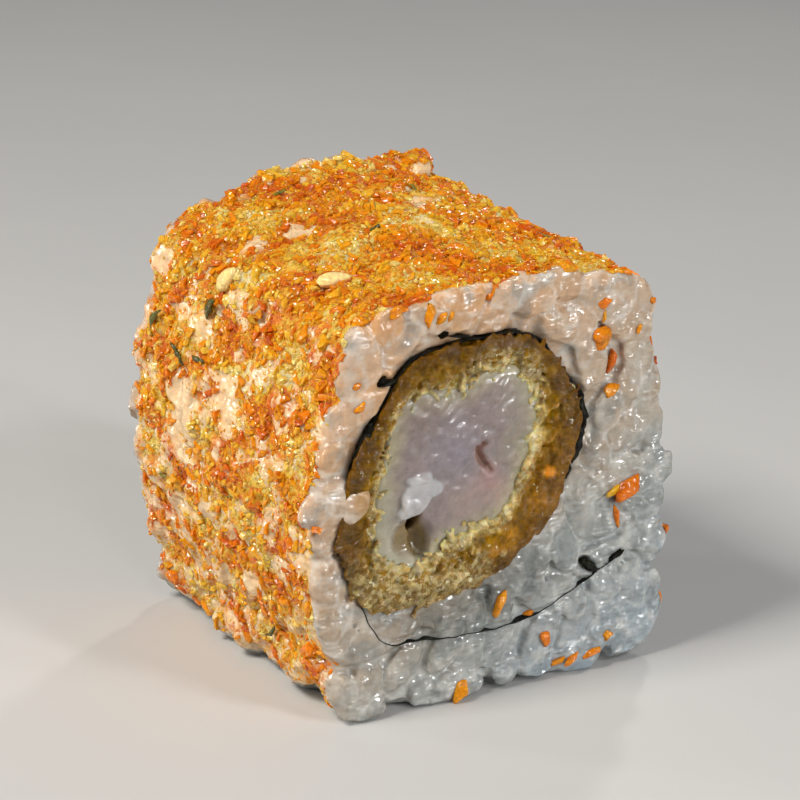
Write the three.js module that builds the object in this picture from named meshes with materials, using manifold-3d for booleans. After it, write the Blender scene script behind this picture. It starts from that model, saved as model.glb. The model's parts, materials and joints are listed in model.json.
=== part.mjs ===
// One piece of an inside-out sushi roll, lying on its rolled side. Millimetres.
// +Z is up and the piece stands on z = 0. The roll's axis runs along Y, and the
// cut face that shows the filling best looks along -Y. X runs across that face.
// A rice layer with seasoning flakes on it winds round a sheet of nori, which
// winds round a crumbed and fried filling. All four run from cut face to cut face.
import * as THREE from "three";
import { mergeVertices } from "three/addons/utils/BufferGeometryUtils.js";
import Module from "manifold-3d";

const wasm = await Module();
wasm.setup();

// Driving sizes
const pieceLength = 31.5;
const cutY = pieceLength / 2;
const gap = 0.3; // between one layer and the next
const shortestEdge = 0.005;
const noriThickness = 0.45;

// The rolled outline's four corners in X and Z: how far before and after each one the
// rounding reaches, and how far the side after it bulges out. The sides are the left
// one, the top, the right one and the bottom, which lies flat up to its last rounding.
const corners = [
  { at: [-16.9, 0], roundBefore: 4, roundAfter: 6, bulge: 2.3 },
  { at: [-17.5, 37.1], roundBefore: 6, roundAfter: 7, bulge: 1.3 },
  { at: [14.6, 37.5], roundBefore: 4, roundAfter: 4, bulge: 0.7 },
  { at: [19.7, 0], roundBefore: 4.5, roundAfter: 11, bulge: 0 },
];
// Towards the far cut face the outline grows taller, crowns and leans to the left
const farHeightGrowth = 0.025;
const farCrown = { rise: 1.6, middle: 0, halfWidth: 15 };
const farLean = 1.7;

// The nori's route through the near cut face: once round the filling, then on
// outside its own start, down to a corner and along under the inner rice
const noriRoute = [
  [-11.4, 11.1], [-6, 11.1], [-1.2, 12.6], [3.6, 15.8], [7, 20.6], [7.9, 25.4], [4.7, 30.4],
  [1.6, 33.1], [-4.3, 33.5], [-10.6, 32.3], [-13.8, 27.8], [-16.1, 22.3], [-16.4, 17.2],
  [-13.9, 10.6], [-11.5, 7.1], [-8.4, 6.7], [-2, 6.2], [4.4, 6.7], [10.1, 9.1], [13.9, 10.9],
];
const noriTurnShare = 0.7; // of the route's length, what goes once round the filling
const noriPoints = 54;

// The crumb coat's and the flesh's outlines on the near cut face
const crumbRoute = [
  [-15.6, 18.6], [-14.6, 23.6], [-12.5, 28.2], [-9.6, 31.6], [-3.8, 32.4], [1.1, 32], [5.2, 27.9],
  [6.2, 22.8], [4.6, 18.1], [0.8, 14.9], [-4.6, 12.7], [-10.6, 12.3], [-14.4, 14.1],
];
const fleshRoute = [
  [-12.9, 18.2], [-12.2, 25], [-11.2, 28.2], [-8.4, 29], [-5.4, 28.9], [-1.7, 30.4],
  [1.6, 28.6], [2, 22.4], [-0.6, 17.6], [-6.2, 15.9], [-9, 14], [-12.2, 15.2],
];
const crumbPoints = 54;
const crumbCrag = 0.3; // how far crags stand out of the crumb coat
const crumbProud = 0.35; // how far the coat swells out of the cut face
const fleshPoints = 32;
const fleshDome = 0.55; // how far the flesh swells out of the cut face
const domeShares = [1, 0.72, 0.38]; // of the way from its middle to its edge, where the dome has rings
// A torn hollow, a deep hole in it and a vein's slit, each a bean shape at a place on the
// near cut face, lying at an angle to X
const fleshHollows = [
  { half: { length: 2.4, width: 1.9, thickness: 1.6 }, at: [-9.75, 16.63], lie: 1.33 },
  { half: { length: 1.4, width: 0.7, thickness: 4.5 }, at: [-9, 18.3], lie: 1.15 },
  { half: { length: 1.8, width: 0.5, thickness: 1.3 }, at: [-2.9, 22.9], lie: -1.1 },
];

// The filling turns, shrinks and shifts a little towards the far cut face
const fillingCentre = [-4.4, 20.5];
const farTurn = THREE.MathUtils.degToRad(-4);
const farScale = 0.95;
const farShift = [0.6, -0.3];

// Grains of rice and what lies on them
const grainHalf = { length: 3.2, width: 1.65, thickness: 1.5 };
const grainSpacing = 3.7;
const coreInset = 1.3; // how deep the grooves between the side grains are
const rimRelief = 0.7; // how deep they are at the rim of a cut face
const faceRelief = 0.4; // how deep those between the sliced grains of a cut face are
const skinSteps = { around: 88, along: 21, inward: 4 }; // of the surface that bulges with the grains
const flakeSpacing = 4.9;
const flakeSize = { least: 1, most: 1.7, thickness: 0.36 };
const seedHalf = { length: 1.6, width: 0.9, thickness: 0.5 };
const seedSpacing = 13;

// A seeded draw of numbers from 0 to 1, the same on every run
function seededDraw(seed) {
  let state = seed >>> 0;
  return () => {
    state = (state + 0x6d2b79f5) >>> 0;
    let mixed = Math.imul(state ^ (state >>> 15), 1 | state);
    mixed = (mixed + Math.imul(mixed ^ (mixed >>> 7), 61 | mixed)) ^ mixed;
    return ((mixed ^ (mixed >>> 14)) >>> 0) / 4294967296;
  };
}

// How far along the roll a point is, from 0 at the near cut face to 1 at the far one
const along = (y) => (y + cutY) / pieceLength;

// Where a point of the rolled outline goes at y
function placeOuter(x, z, y) {
  const far = along(y);
  const level = z / corners[1].at[1];
  const crown = Math.max(0, 1 - ((x - farCrown.middle) / farCrown.halfWidth) ** 2) * level ** 3;
  const lean = farLean * far * (0.5 - level);
  return new THREE.Vector3(x + lean, y, z * (1 + farHeightGrowth * far) + farCrown.rise * crown * far);
}

// Where a point of the filling or the nori goes at y
function placeInner(x, z, y) {
  const far = along(y);
  const size = 1 + (farScale - 1) * far;
  const cos = Math.cos(farTurn * far) * size;
  const sin = Math.sin(farTurn * far) * size;
  const [dx, dz] = [x - fillingCentre[0], z - fillingCentre[1]];
  return new THREE.Vector3(
    fillingCentre[0] + cos * dx - sin * dz + farShift[0] * far,
    y,
    fillingCentre[1] + sin * dx + cos * dz + farShift[1] * far,
  );
}

// A geometry as a manifold solid, its shared vertices merged
function solidOf(geometry) {
  const bare = new THREE.BufferGeometry();
  bare.setAttribute("position", geometry.getAttribute("position"));
  bare.setIndex(geometry.getIndex());
  const merged = mergeVertices(bare, 1e-4);
  const mesh = new wasm.Mesh({
    numProp: 3,
    vertProperties: merged.getAttribute("position").array,
    triVerts: new Uint32Array(merged.getIndex().array),
  });
  return new wasm.Manifold(mesh);
}

// A manifold solid's largest body, without scraps or sealed hollows, as a geometry. Edges
// too short to matter are closed up.
function geometryOf(solid) {
  const bodies = solid.decompose();
  const largest = bodies.reduce((best, body) => (body.volume() > best.volume() ? body : best));
  const mesh = largest.getMesh();
  const cut = new THREE.BufferGeometry();
  cut.setAttribute("position", new THREE.BufferAttribute(mesh.vertProperties, 3));
  cut.setIndex(new THREE.BufferAttribute(mesh.triVerts, 1));
  const merged = mergeVertices(cut, shortestEdge);
  const corner = merged.getIndex().array;
  const index = [];
  for (let i = 0; i < corner.length; i += 3) {
    const [a, b, c] = corner.slice(i, i + 3);
    if (a !== b && b !== c && c !== a) index.push(a, b, c);
  }
  return merged.setIndex(index);
}

// A prism of a closed XZ outline from yNear to yFar, bent by a placing function
function prism(points, yNear, yFar, place) {
  const depth = yFar - yNear;
  const shape = new THREE.Shape(points.map(([x, z]) => new THREE.Vector2(x, z)));
  const geometry = new THREE.ExtrudeGeometry(shape, { depth, bevelEnabled: false, steps: 1 });
  const position = geometry.getAttribute("position");
  for (let i = 0; i < position.count; i++) {
    const moved = place(position.getX(i), position.getY(i), yFar - position.getZ(i));
    position.setXYZ(i, moved.x, moved.y, moved.z);
  }
  return geometry;
}

// Rings of equal point count, joined each to the next and the last to the first
function closedBand(rings) {
  const count = rings[0].length;
  const position = rings.flat().flatMap((point) => point.toArray());
  const index = [];
  for (let ring = 0; ring < rings.length; ring++) {
    const next = (ring + 1) % rings.length;
    for (let i = 0; i < count; i++) {
      const j = (i + 1) % count;
      const [a, b] = [ring * count + i, ring * count + j];
      const [c, d] = [next * count + i, next * count + j];
      index.push(a, b, d, a, d, c);
    }
  }
  return indexed(position, index);
}

// Rings of equal point count, joined each to the next and closed by a point at either end
function cappedTube(rings, nearTip, farTip) {
  const count = rings[0].length;
  const position = [...rings.flat(), nearTip, farTip].flatMap((point) => point.toArray());
  const [near, far] = [rings.length * count, rings.length * count + 1];
  const last = (rings.length - 1) * count;
  const index = [];
  for (let i = 0; i < count; i++) {
    const j = (i + 1) % count;
    index.push(near, j, i, far, last + i, last + j);
    for (let ring = 0; ring < rings.length - 1; ring++) {
      const [a, b] = [ring * count + i, ring * count + j];
      const [c, d] = [a + count, b + count];
      const [here, next] = [rings[ring], rings[ring + 1]];
      const splitsShort = here[i].distanceTo(next[j]) < here[j].distanceTo(next[i]);
      index.push(...(splitsShort ? [a, b, d, a, d, c] : [a, b, c, b, d, c]));
    }
  }
  return indexed(position, index);
}

function indexed(position, index) {
  const geometry = new THREE.BufferGeometry();
  geometry.setAttribute("position", new THREE.Float32BufferAttribute(position, 3));
  geometry.setIndex(index);
  return geometry;
}

// The rolled outline as a closed shape: bulging sides joined by rounded corners
function rolledShape() {
  const shape = new THREE.Shape();
  const at = corners.map((corner) => new THREE.Vector2(...corner.at));
  const leave = (i) => towards(at[i], at[(i + 1) % 4], corners[i].roundAfter);
  const arrive = (i) => towards(at[i], at[(i + 3) % 4], corners[i].roundBefore);
  shape.moveTo(...leave(0).toArray());
  for (let i = 0; i < 4; i++) {
    const next = (i + 1) % 4;
    const [from, to] = [leave(i), arrive(next)];
    const side = to.clone().sub(from).normalize();
    const pull = from.clone().add(to).multiplyScalar(0.5);
    pull.add(new THREE.Vector2(-side.y, side.x).multiplyScalar(2 * corners[i].bulge));
    shape.quadraticCurveTo(pull.x, pull.y, to.x, to.y);
    shape.quadraticCurveTo(at[next].x, at[next].y, ...leave(next).toArray());
  }
  return shape;
}

function towards(from, to, distance) {
  return from.clone().add(to.clone().sub(from).setLength(distance));
}

// Evenly spaced points of a shape with their outward normals and their way along it
function walkOutline(shape, count) {
  const points = shape.getSpacedPoints(count).slice(0, count);
  const step = shape.getLength() / count;
  return points.map((point, i) => {
    const ahead = points[(i + 1) % count];
    const behind = points[(i + count - 1) % count];
    const tangent = ahead.clone().sub(behind).normalize();
    const normal = new THREE.Vector2(-tangent.y, tangent.x);
    return { x: point.x, z: point.y, tangent, normal, way: i * step };
  });
}

// A smooth curve through a route's points, as [x, z] pairs
function smoothRoute(route, closed, count) {
  const curve = new THREE.CatmullRomCurve3(
    route.map(([x, z]) => new THREE.Vector3(x, z, 0)),
    closed,
  );
  const points = curve.getSpacedPoints(count);
  return (closed ? points.slice(0, count) : points).map((point) => [point.x, point.y]);
}

// The closed outline of a band of half-thickness reach(i) either side of an open line
function bandOutline(line, reach) {
  const sides = [[], []];
  line.forEach(([x, z], i) => {
    const [before, after] = [line[Math.max(i - 1, 0)], line[Math.min(i + 1, line.length - 1)]];
    const run = new THREE.Vector2(after[0] - before[0], after[1] - before[1]).normalize();
    const half = reach(i);
    sides[0].push([x - run.y * half, z + run.x * half]);
    sides[1].unshift([x + run.y * half, z - run.x * half]);
  });
  return [...sides[0], ...sides[1]];
}

function insideOutline([x, z], outline) {
  let inside = false;
  outline.forEach(([x1, z1], i) => {
    const [x2, z2] = outline[(i + 1) % outline.length];
    if (z1 > z !== z2 > z && x < x1 + ((z - z1) * (x2 - x1)) / (z2 - z1)) inside = !inside;
  });
  return inside;
}

function distanceToLine([x, z], line) {
  return Math.min(...line.map(([px, pz]) => Math.hypot(px - x, pz - z)));
}

const outline = walkOutline(rolledShape(), 220);
const outlinePoints = outline.map((spot) => [spot.x, spot.z]);
const outlineLength = rolledShape().getLength();
const noriLine = smoothRoute(noriRoute, false, noriPoints);
const noriTurn = noriLine.slice(0, Math.round(noriLine.length * noriTurnShare));

// A spot on the rolled surface, its frame there and how far round it lies
function spotOnSide(way, y) {
  const spot = outline[Math.floor((way / outlineLength) * outline.length) % outline.length];
  return {
    way,
    y,
    centre: placeOuter(spot.x, spot.z, y),
    normal: new THREE.Vector3(spot.normal.x, 0, spot.normal.y),
    tangent: new THREE.Vector3(spot.tangent.x, 0, spot.tangent.y),
  };
}

// Spots scattered over the rolled surface, no two nearer than spacing, kept where wanted(spot) allows
function scatterOnSide(spacing, draw, wanted) {
  const spots = [];
  const tries = Math.round((60 * outlineLength * pieceLength) / (spacing * spacing));
  for (let i = 0; i < tries; i++) {
    const spot = spotOnSide(draw() * outlineLength, (draw() * 2 - 1) * cutY);
    const clear = spots.every((other) => {
      const apart = Math.abs(other.way - spot.way);
      return Math.hypot(Math.min(apart, outlineLength - apart), other.y - spot.y) > spacing;
    });
    if (clear && wanted(spot)) spots.push(spot);
  }
  return spots;
}

// A low-sided bean shape, its length, width and thickness laid along three axes
function bean(half, centre, lengthAxis, upAxis, sides, rings) {
  const widthAxis = new THREE.Vector3().crossVectors(lengthAxis, upAxis).normalize();
  const up = new THREE.Vector3().crossVectors(widthAxis, lengthAxis);
  const frame = new THREE.Matrix4().makeBasis(
    widthAxis.clone().multiplyScalar(half.width),
    lengthAxis.clone().multiplyScalar(half.length),
    up.multiplyScalar(half.thickness),
  );
  frame.setPosition(centre);
  return new THREE.SphereGeometry(1, sides, rings).applyMatrix4(frame);
}

// One grain: its place, axes and size, kept so that flakes can find the grains' tops
function makeGrain(centre, lengthAxis, upAxis, draw) {
  const uneven = (size, share) => size * (1 + share * (2 * draw() - 1));
  const half = {
    length: uneven(grainHalf.length, 0.12),
    width: uneven(grainHalf.width, 0.08),
    thickness: uneven(grainHalf.thickness, 0.08),
  };
  return { centre, lengthAxis: lengthAxis.normalize(), upAxis: upAxis.normalize(), half };
}

// Grains pressed flat against the rolled surface, their tops at its outline
function sideGrains() {
  const draw = seededDraw(11);
  const clearOfBase = (spot) => spot.normal.z > -0.75;
  return scatterOnSide(grainSpacing, draw, clearOfBase).map((spot) => {
    const lie = draw() * Math.PI;
    const lengthAxis = spot.tangent.clone().multiplyScalar(Math.cos(lie));
    lengthAxis.y += Math.sin(lie);
    lengthAxis.addScaledVector(spot.normal, (draw() - 0.5) * 0.3);
    const depth = grainHalf.thickness * (0.9 + 0.25 * draw());
    const centre = spot.centre.clone().addScaledVector(spot.normal, -depth);
    return makeGrain(centre, lengthAxis, spot.normal.clone(), draw);
  });
}

// Grains that the knife sliced at a cut face, between the outline and the nori
function faceGrains(side) {
  const draw = seededDraw(side > 0 ? 29 : 23);
  const grains = [];
  const taken = [];
  for (let i = 0; i < 9000; i++) {
    const place = [(draw() * 2 - 1) * 19, draw() * 38];
    const away = Math.min(...taken.map((other) => Math.hypot(other[0] - place[0], other[1] - place[1])));
    if (away < grainSpacing || !insideOutline(place, outlinePoints)) continue;
    if (insideOutline(place, noriTurn) || distanceToLine(place, noriLine) < 1.1) continue;
    if (distanceToLine(place, outlinePoints) < 1.8) continue;
    taken.push(place);
    const lie = draw() * Math.PI;
    const lengthAxis = new THREE.Vector3(Math.cos(lie), (draw() - 0.5) * 0.8, Math.sin(lie));
    const centre = placeOuter(place[0], place[1], side * (cutY - 0.2 - 0.9 * draw()));
    grains.push(makeGrain(centre, lengthAxis, new THREE.Vector3(0, side, 0), draw));
  }
  return grains;
}

// Where a line from outside first meets a grain, as a distance along it
function meetGrain(grain, from, direction) {
  const widthAxis = new THREE.Vector3().crossVectors(grain.lengthAxis, grain.upAxis).normalize();
  const up = new THREE.Vector3().crossVectors(widthAxis, grain.lengthAxis);
  const start = from.clone().sub(grain.centre);
  const axes = [
    [widthAxis, grain.half.width],
    [grain.lengthAxis, grain.half.length],
    [up, grain.half.thickness],
  ];
  let [a, b, c] = [0, 0, -1];
  axes.forEach(([axis, reach]) => {
    const [s, d] = [start.dot(axis) / reach, direction.dot(axis) / reach];
    a += d * d;
    b += s * d;
    c += s * s;
  });
  const under = b * b - a * c;
  return under > 0 ? (-b - Math.sqrt(under)) / a : Infinity;
}

// How much of the rolled surface is coated there: all of the top, less down the left
// side, a little of the right side and next to none underneath
function coatShare(spot) {
  const { x, z } = spot.normal;
  if (z > 0.5) return 1;
  if (z < -0.6) return 0;
  const height = THREE.MathUtils.clamp(spot.centre.z / 30, 0, 1);
  return x < 0 ? 0.45 + 0.55 * height : 0.1 + 0.25 * height;
}

// Lays thin pieces on the rice where the coat is, each a little sunk into it
function layOnRice(grains, spots, shape) {
  const [outside, sunk] = [4, 0.12];
  return spots.map((spot) => {
    const from = spot.centre.clone().addScaledVector(spot.normal, outside);
    const inward = spot.normal.clone().negate();
    const depth = riceDepth(grains, from, inward, outside, coreInset);
    return shape(from.addScaledVector(inward, depth + sunk), spot);
  });
}

// A flake: a thin, uneven five-sided plate with a smaller top
function flake(centre, spot, draw) {
  const size = flakeSize.least + (flakeSize.most - flakeSize.least) * draw() ** 1.5;
  const plate = new THREE.CylinderGeometry(size * 0.8, size, flakeSize.thickness * 2, 5, 1);
  plate.scale(0.55 + 0.45 * draw(), 1, 1);
  plate.rotateY(draw() * Math.PI * 2);
  const lean = new THREE.Vector3(draw() - 0.5, draw() - 0.5, draw() - 0.5).multiplyScalar(0.5);
  const up = spot.normal.clone().add(lean).normalize();
  plate.applyQuaternion(new THREE.Quaternion().setFromUnitVectors(new THREE.Vector3(0, 1, 0), up));
  plate.translate(centre.x, centre.y, centre.z);
  return plate;
}

function sesameSeed(centre, spot, draw) {
  const lie = draw() * Math.PI;
  const lengthAxis = spot.tangent.clone().multiplyScalar(Math.cos(lie));
  lengthAxis.y += Math.sin(lie);
  return bean(seedHalf, centre, lengthAxis.normalize(), spot.normal, 5, 4);
}

// How far along a line from outside the rice's surface is: at a grain's top, or at the
// bottom of a groove between grains
function riceDepth(grains, from, inward, outside, groove) {
  const near = grains.filter((grain) => grain.centre.distanceTo(from) < outside + 2 * grainHalf.length);
  const depth = Math.min(...near.map((grain) => meetGrain(grain, from, inward)));
  return THREE.MathUtils.clamp(depth, outside, outside + groove);
}

// A ring of the rolled surface at y, bulging with the grains and flat underneath
function sideRing(grains, y) {
  const outside = 3;
  return Array.from({ length: skinSteps.around }, (_, i) => {
    const spot = spotOnSide((i / skinSteps.around) * outlineLength, y);
    const from = spot.centre.clone().addScaledVector(spot.normal, outside);
    const inward = spot.normal.clone().negate();
    const deepest = Math.abs(y) < cutY ? coreInset : rimRelief;
    const groove = deepest * (1 - Math.max(0, -spot.normal.z) ** 2);
    return from.addScaledVector(inward, riceDepth(grains, from, inward, outside, groove));
  });
}

// Rings over a cut face, from its rim to just inside the nori's turn, bulging with the
// sliced grains
function faceRings(grains, side) {
  const outside = 2;
  const y = side * cutY;
  const centre = placeInner(...fillingCentre, y);
  const inward = new THREE.Vector3(0, -side, 0);
  const rim = sideRing(grains, y);
  const turn = noriTurn.map(([x, z]) => placeInner(x, z, y)).map((point) => [point.x, point.z]);
  const shares = rim.map((point) => {
    let share = 0;
    while (!insideOutline(pointToPair(point.clone().lerp(centre, share)), turn)) share += 0.02;
    return share;
  });
  return Array.from({ length: skinSteps.inward + 1 }, (_, step) =>
    rim.map((point, i) => {
      const place = point.clone().lerp(centre, (shares[i] * step) / skinSteps.inward);
      const from = place.clone().addScaledVector(inward, -outside);
      return from.addScaledVector(inward, riceDepth(grains, from, inward, outside, faceRelief));
    }),
  );
}

const pointToPair = (point) => [point.x, point.z];

// The rice as one lump, its surface bulging with the grains that show
function riceLump(grains) {
  const near = faceRings(grains, -1).reverse();
  const far = faceRings(grains, 1);
  const between = Array.from({ length: skinSteps.along - 1 }, (_, i) =>
    sideRing(grains, cutY * (-1 + (2 * (i + 1)) / skinSteps.along)),
  );
  const tip = (side) => placeInner(...fillingCentre, side * (cutY - faceRelief));
  return cappedTube([...near, ...between, ...far], tip(-1), tip(1));
}

// The space that the nori, with its gap, and everything inside its turn take up
function noriSpace() {
  const reach = noriThickness / 2 + gap;
  const beyond = cutY + 2;
  const band = solidOf(prism(bandOutline(noriLine, () => reach), -beyond, beyond, placeInner));
  const turn = solidOf(prism(noriTurn, -beyond, beyond, placeInner));
  return band.add(turn);
}

function makeRice() {
  const grains = [...sideGrains(), ...faceGrains(-1), ...faceGrains(1)];
  const draw = seededDraw(47);
  const coated = (spot) => draw() < coatShare(spot) && Math.abs(spot.y) < cutY - flakeSize.most;
  const flakes = layOnRice(grains, scatterOnSide(flakeSpacing, draw, coated), (centre, spot) =>
    flake(centre, spot, draw),
  );
  const seeds = layOnRice(grains, scatterOnSide(seedSpacing, draw, coated), (centre, spot) =>
    sesameSeed(centre, spot, draw),
  );
  const pieces = [riceLump(grains), ...flakes, ...seeds].map(solidOf);
  return geometryOf(wasm.Manifold.union(pieces).subtract(noriSpace()));
}

function makeNori() {
  const wave = (i) => (noriThickness / 2) * (0.85 + 0.15 * Math.sin(i * 1.7));
  return prism(bandOutline(noriLine, wave), -cutY + 0.15, cutY - 0.15, placeInner);
}

// The crumb coat: a craggy tube between the nori and the flesh, rough at both cut faces
function makeCrumbCoat() {
  const draw = seededDraw(71);
  const edgeGap = gap * 1.4; // leaves the gap after both outlines are split into straight steps
  const outer = smoothRoute(crumbRoute, true, crumbPoints);
  const innerEdge = walkOutline(
    new THREE.Shape(smoothRoute(fleshRoute, true, crumbPoints).map(([x, z]) => new THREE.Vector2(x, z))),
    crumbPoints,
  ).map((spot) => [spot.x + spot.normal.x * edgeGap, spot.z + spot.normal.y * edgeGap]);
  const crag = ([x, z]) => {
    const [dx, dz] = [x - fillingCentre[0], z - fillingCentre[1]];
    const pull = 1 - (crumbCrag * 2 * draw()) / Math.hypot(dx, dz);
    return [fillingCentre[0] + dx * pull, fillingCentre[1] + dz * pull];
  };
  const outerRing = (y) => outer.map(crag).map(([x, z]) => placeInner(x, z, y));
  const innerRing = (y) => innerEdge.map(([x, z]) => placeInner(x, z, y));
  const midRing = (side) =>
    outer.map(([x, z], i) => {
      const [ix, iz] = innerEdge[i];
      const swell = crumbProud + crumbCrag * (draw() - 0.5) * 2;
      return placeInner((x + ix) / 2, (z + iz) / 2, side * (cutY + swell));
    });
  const stations = [-cutY, -cutY / 3, cutY / 3, cutY];
  const rings = [
    ...stations.map(outerRing),
    midRing(1),
    innerRing(cutY),
    innerRing(-cutY),
    midRing(-1),
  ];
  return closedBand(rings);
}

// The flesh: a plug that swells at both cut faces, with a vein slit and a torn hollow
function makeFlesh() {
  const edge = smoothRoute(fleshRoute, true, fleshPoints);
  const ring = (y, share) =>
    edge.map(([x, z]) =>
      placeInner(
        fillingCentre[0] + (x - fillingCentre[0]) * share,
        fillingCentre[1] + (z - fillingCentre[1]) * share,
        y,
      ),
    );
  const domed = (side, share) => ring(side * (cutY + fleshDome * (1 - share ** 2)), share);
  const near = domeShares.toReversed().map((share) => domed(-1, share));
  const far = domeShares.map((share) => domed(1, share));
  const tip = (side) => placeInner(...fillingCentre, side * (cutY + fleshDome));
  const plug = solidOf(cappedTube([...near, ...far], tip(-1), tip(1)));
  const facing = new THREE.Vector3(0.06, -1, 0.04).normalize();
  const hollows = fleshHollows.map(({ half, at, lie }) => {
    const centre = placeInner(...at, -cutY - fleshDome / 2);
    return solidOf(bean(half, centre, new THREE.Vector3(Math.cos(lie), 0, Math.sin(lie)), facing, 8, 5));
  });
  return geometryOf(plug.subtract(wasm.Manifold.union(hollows)));
}

const materials = {
  rice: new THREE.MeshStandardMaterial({ color: 0xd9cfc6, roughness: 0.4, metalness: 0 }),
  nori: new THREE.MeshStandardMaterial({ color: 0x14140f, roughness: 0.5, metalness: 0 }),
  crumb_coat: new THREE.MeshStandardMaterial({ color: 0x8a6012, roughness: 0.4, metalness: 0 }),
  flesh: new THREE.MeshStandardMaterial({ color: 0xb3a29c, roughness: 0.35, metalness: 0 }),
};

const layers = { rice: makeRice(), nori: makeNori(), crumb_coat: makeCrumbCoat(), flesh: makeFlesh() };

// The origin goes under the middle of the piece's outermost reach
const reach = new THREE.Box3();
Object.values(layers).forEach((geometry) => {
  geometry.computeBoundingBox();
  reach.union(geometry.boundingBox);
});
const middle = reach.getCenter(new THREE.Vector3());

const roll = new THREE.Group();
roll.position.set(-middle.x, -middle.y, -reach.min.z);
for (const [name, geometry] of Object.entries(layers)) {
  const mesh = new THREE.Mesh(geometry, materials[name]);
  mesh.name = name;
  roll.add(mesh);
}

export default roll;
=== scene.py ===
import json
import math

import bmesh
import bpy
import numpy as np
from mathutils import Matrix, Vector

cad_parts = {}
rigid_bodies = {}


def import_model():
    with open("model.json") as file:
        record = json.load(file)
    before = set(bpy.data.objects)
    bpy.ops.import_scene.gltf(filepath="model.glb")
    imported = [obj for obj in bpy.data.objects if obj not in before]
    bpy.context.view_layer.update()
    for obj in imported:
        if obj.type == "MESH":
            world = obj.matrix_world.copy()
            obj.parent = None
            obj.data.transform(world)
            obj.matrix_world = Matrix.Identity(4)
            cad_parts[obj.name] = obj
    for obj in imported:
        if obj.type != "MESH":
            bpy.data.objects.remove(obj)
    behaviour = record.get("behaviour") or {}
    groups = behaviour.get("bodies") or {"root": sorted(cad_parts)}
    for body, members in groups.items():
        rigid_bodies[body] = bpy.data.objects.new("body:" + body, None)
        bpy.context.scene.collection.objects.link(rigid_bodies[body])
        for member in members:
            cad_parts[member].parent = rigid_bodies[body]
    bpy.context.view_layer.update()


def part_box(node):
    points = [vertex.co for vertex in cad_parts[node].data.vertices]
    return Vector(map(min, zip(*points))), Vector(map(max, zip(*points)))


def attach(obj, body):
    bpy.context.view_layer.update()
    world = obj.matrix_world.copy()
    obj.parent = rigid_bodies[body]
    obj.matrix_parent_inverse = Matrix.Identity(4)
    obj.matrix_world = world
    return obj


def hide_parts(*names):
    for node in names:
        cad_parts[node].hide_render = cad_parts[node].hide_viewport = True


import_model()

import openvdb
from mathutils import Matrix, Vector
from mathutils.bvhtree import BVHTree

bl_info = {
    "name": "Inside-out sushi roll piece",
    "version": (1, 0, 0),
    "blender": (4, 5, 0),
    "location": "3D View > Sidebar > Sushi Roll",
    "description": "Dresses one seasoned inside-out roll piece round its packed frame",
    "category": "Add Mesh",
}

# Everything is worked out in millimetres in the roll's own coordinates and made metres at the end.
# The roll's axis is Y, the cut face that shows the filling best looks along -Y, and +Z is up.
MM = 0.001
LENGTH = 31.5
CUT = LENGTH / 2

# The rolled outline's corners in X and Z, with the rounding before and after each and the bulge
# of the side after it
CORNERS = (
    ((-16.9, 0.0), 4.0, 6.0, 2.3),
    ((-17.5, 37.1), 6.0, 7.0, 1.3),
    ((14.6, 37.5), 4.0, 4.0, 0.7),
    ((19.7, 0.0), 4.5, 11.0, 0.0),
)
FAR_HEIGHT_GROWTH = 0.025
FAR_CROWN_RISE = 1.6
FAR_CROWN_HALF = 15.0
FAR_LEAN = 1.7

# Routes in X and Z on the near cut face
NORI_ROUTE = (
    (-11.4, 11.1), (-6, 11.1), (-1.2, 12.6), (3.6, 15.8), (7, 20.6), (7.9, 25.4), (4.7, 30.4),
    (1.6, 33.1), (-4.3, 33.5), (-10.6, 32.3), (-13.8, 27.8), (-16.1, 22.3), (-16.4, 17.2),
    (-13.9, 10.6), (-11.5, 7.1), (-8.4, 6.7), (-2, 6.2), (4.4, 6.7), (10.1, 9.1), (13.9, 10.9),
)
NORI_TURN_SHARE = 0.7
BATTER_ROUTE = (
    (-15.6, 18.6), (-14.6, 23.6), (-12.5, 28.2), (-9.6, 31.6), (-3.8, 32.4), (1.1, 32), (5.2, 27.9),
    (6.2, 22.8), (4.6, 18.1), (0.8, 14.9), (-4.6, 12.7), (-10.6, 12.3), (-14.4, 14.1),
)
FLESH_ROUTE = (
    (-12.9, 18.2), (-12.2, 25), (-11.2, 28.2), (-8.4, 29), (-5.4, 28.9), (-1.7, 30.4),
    (1.6, 28.6), (2, 22.4), (-0.6, 17.6), (-6.2, 15.9), (-9, 14), (-12.2, 15.2),
)
FILLING_CENTRE = (-4.4, 20.5)
FAR_TURN = math.radians(-4)
FAR_SCALE = 0.95
FAR_SHIFT = (0.6, -0.3)

# The camera, fitted to the photograph: where it looks from, and which pixel lies on its axis
CAMERA_YAW = math.radians(-35.358)
CAMERA_PITCH = math.radians(20.052)
CAMERA_ROLL = math.radians(3.714)
CAMERA_DISTANCE = 260.47
CAMERA_AIM_HEIGHT = 19.26
CAMERA_FOCAL_PIXELS = 2882.8
CAMERA_AXIS_PIXEL = (403.04, 433.3)
FRAME_PIXELS = 800

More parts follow.
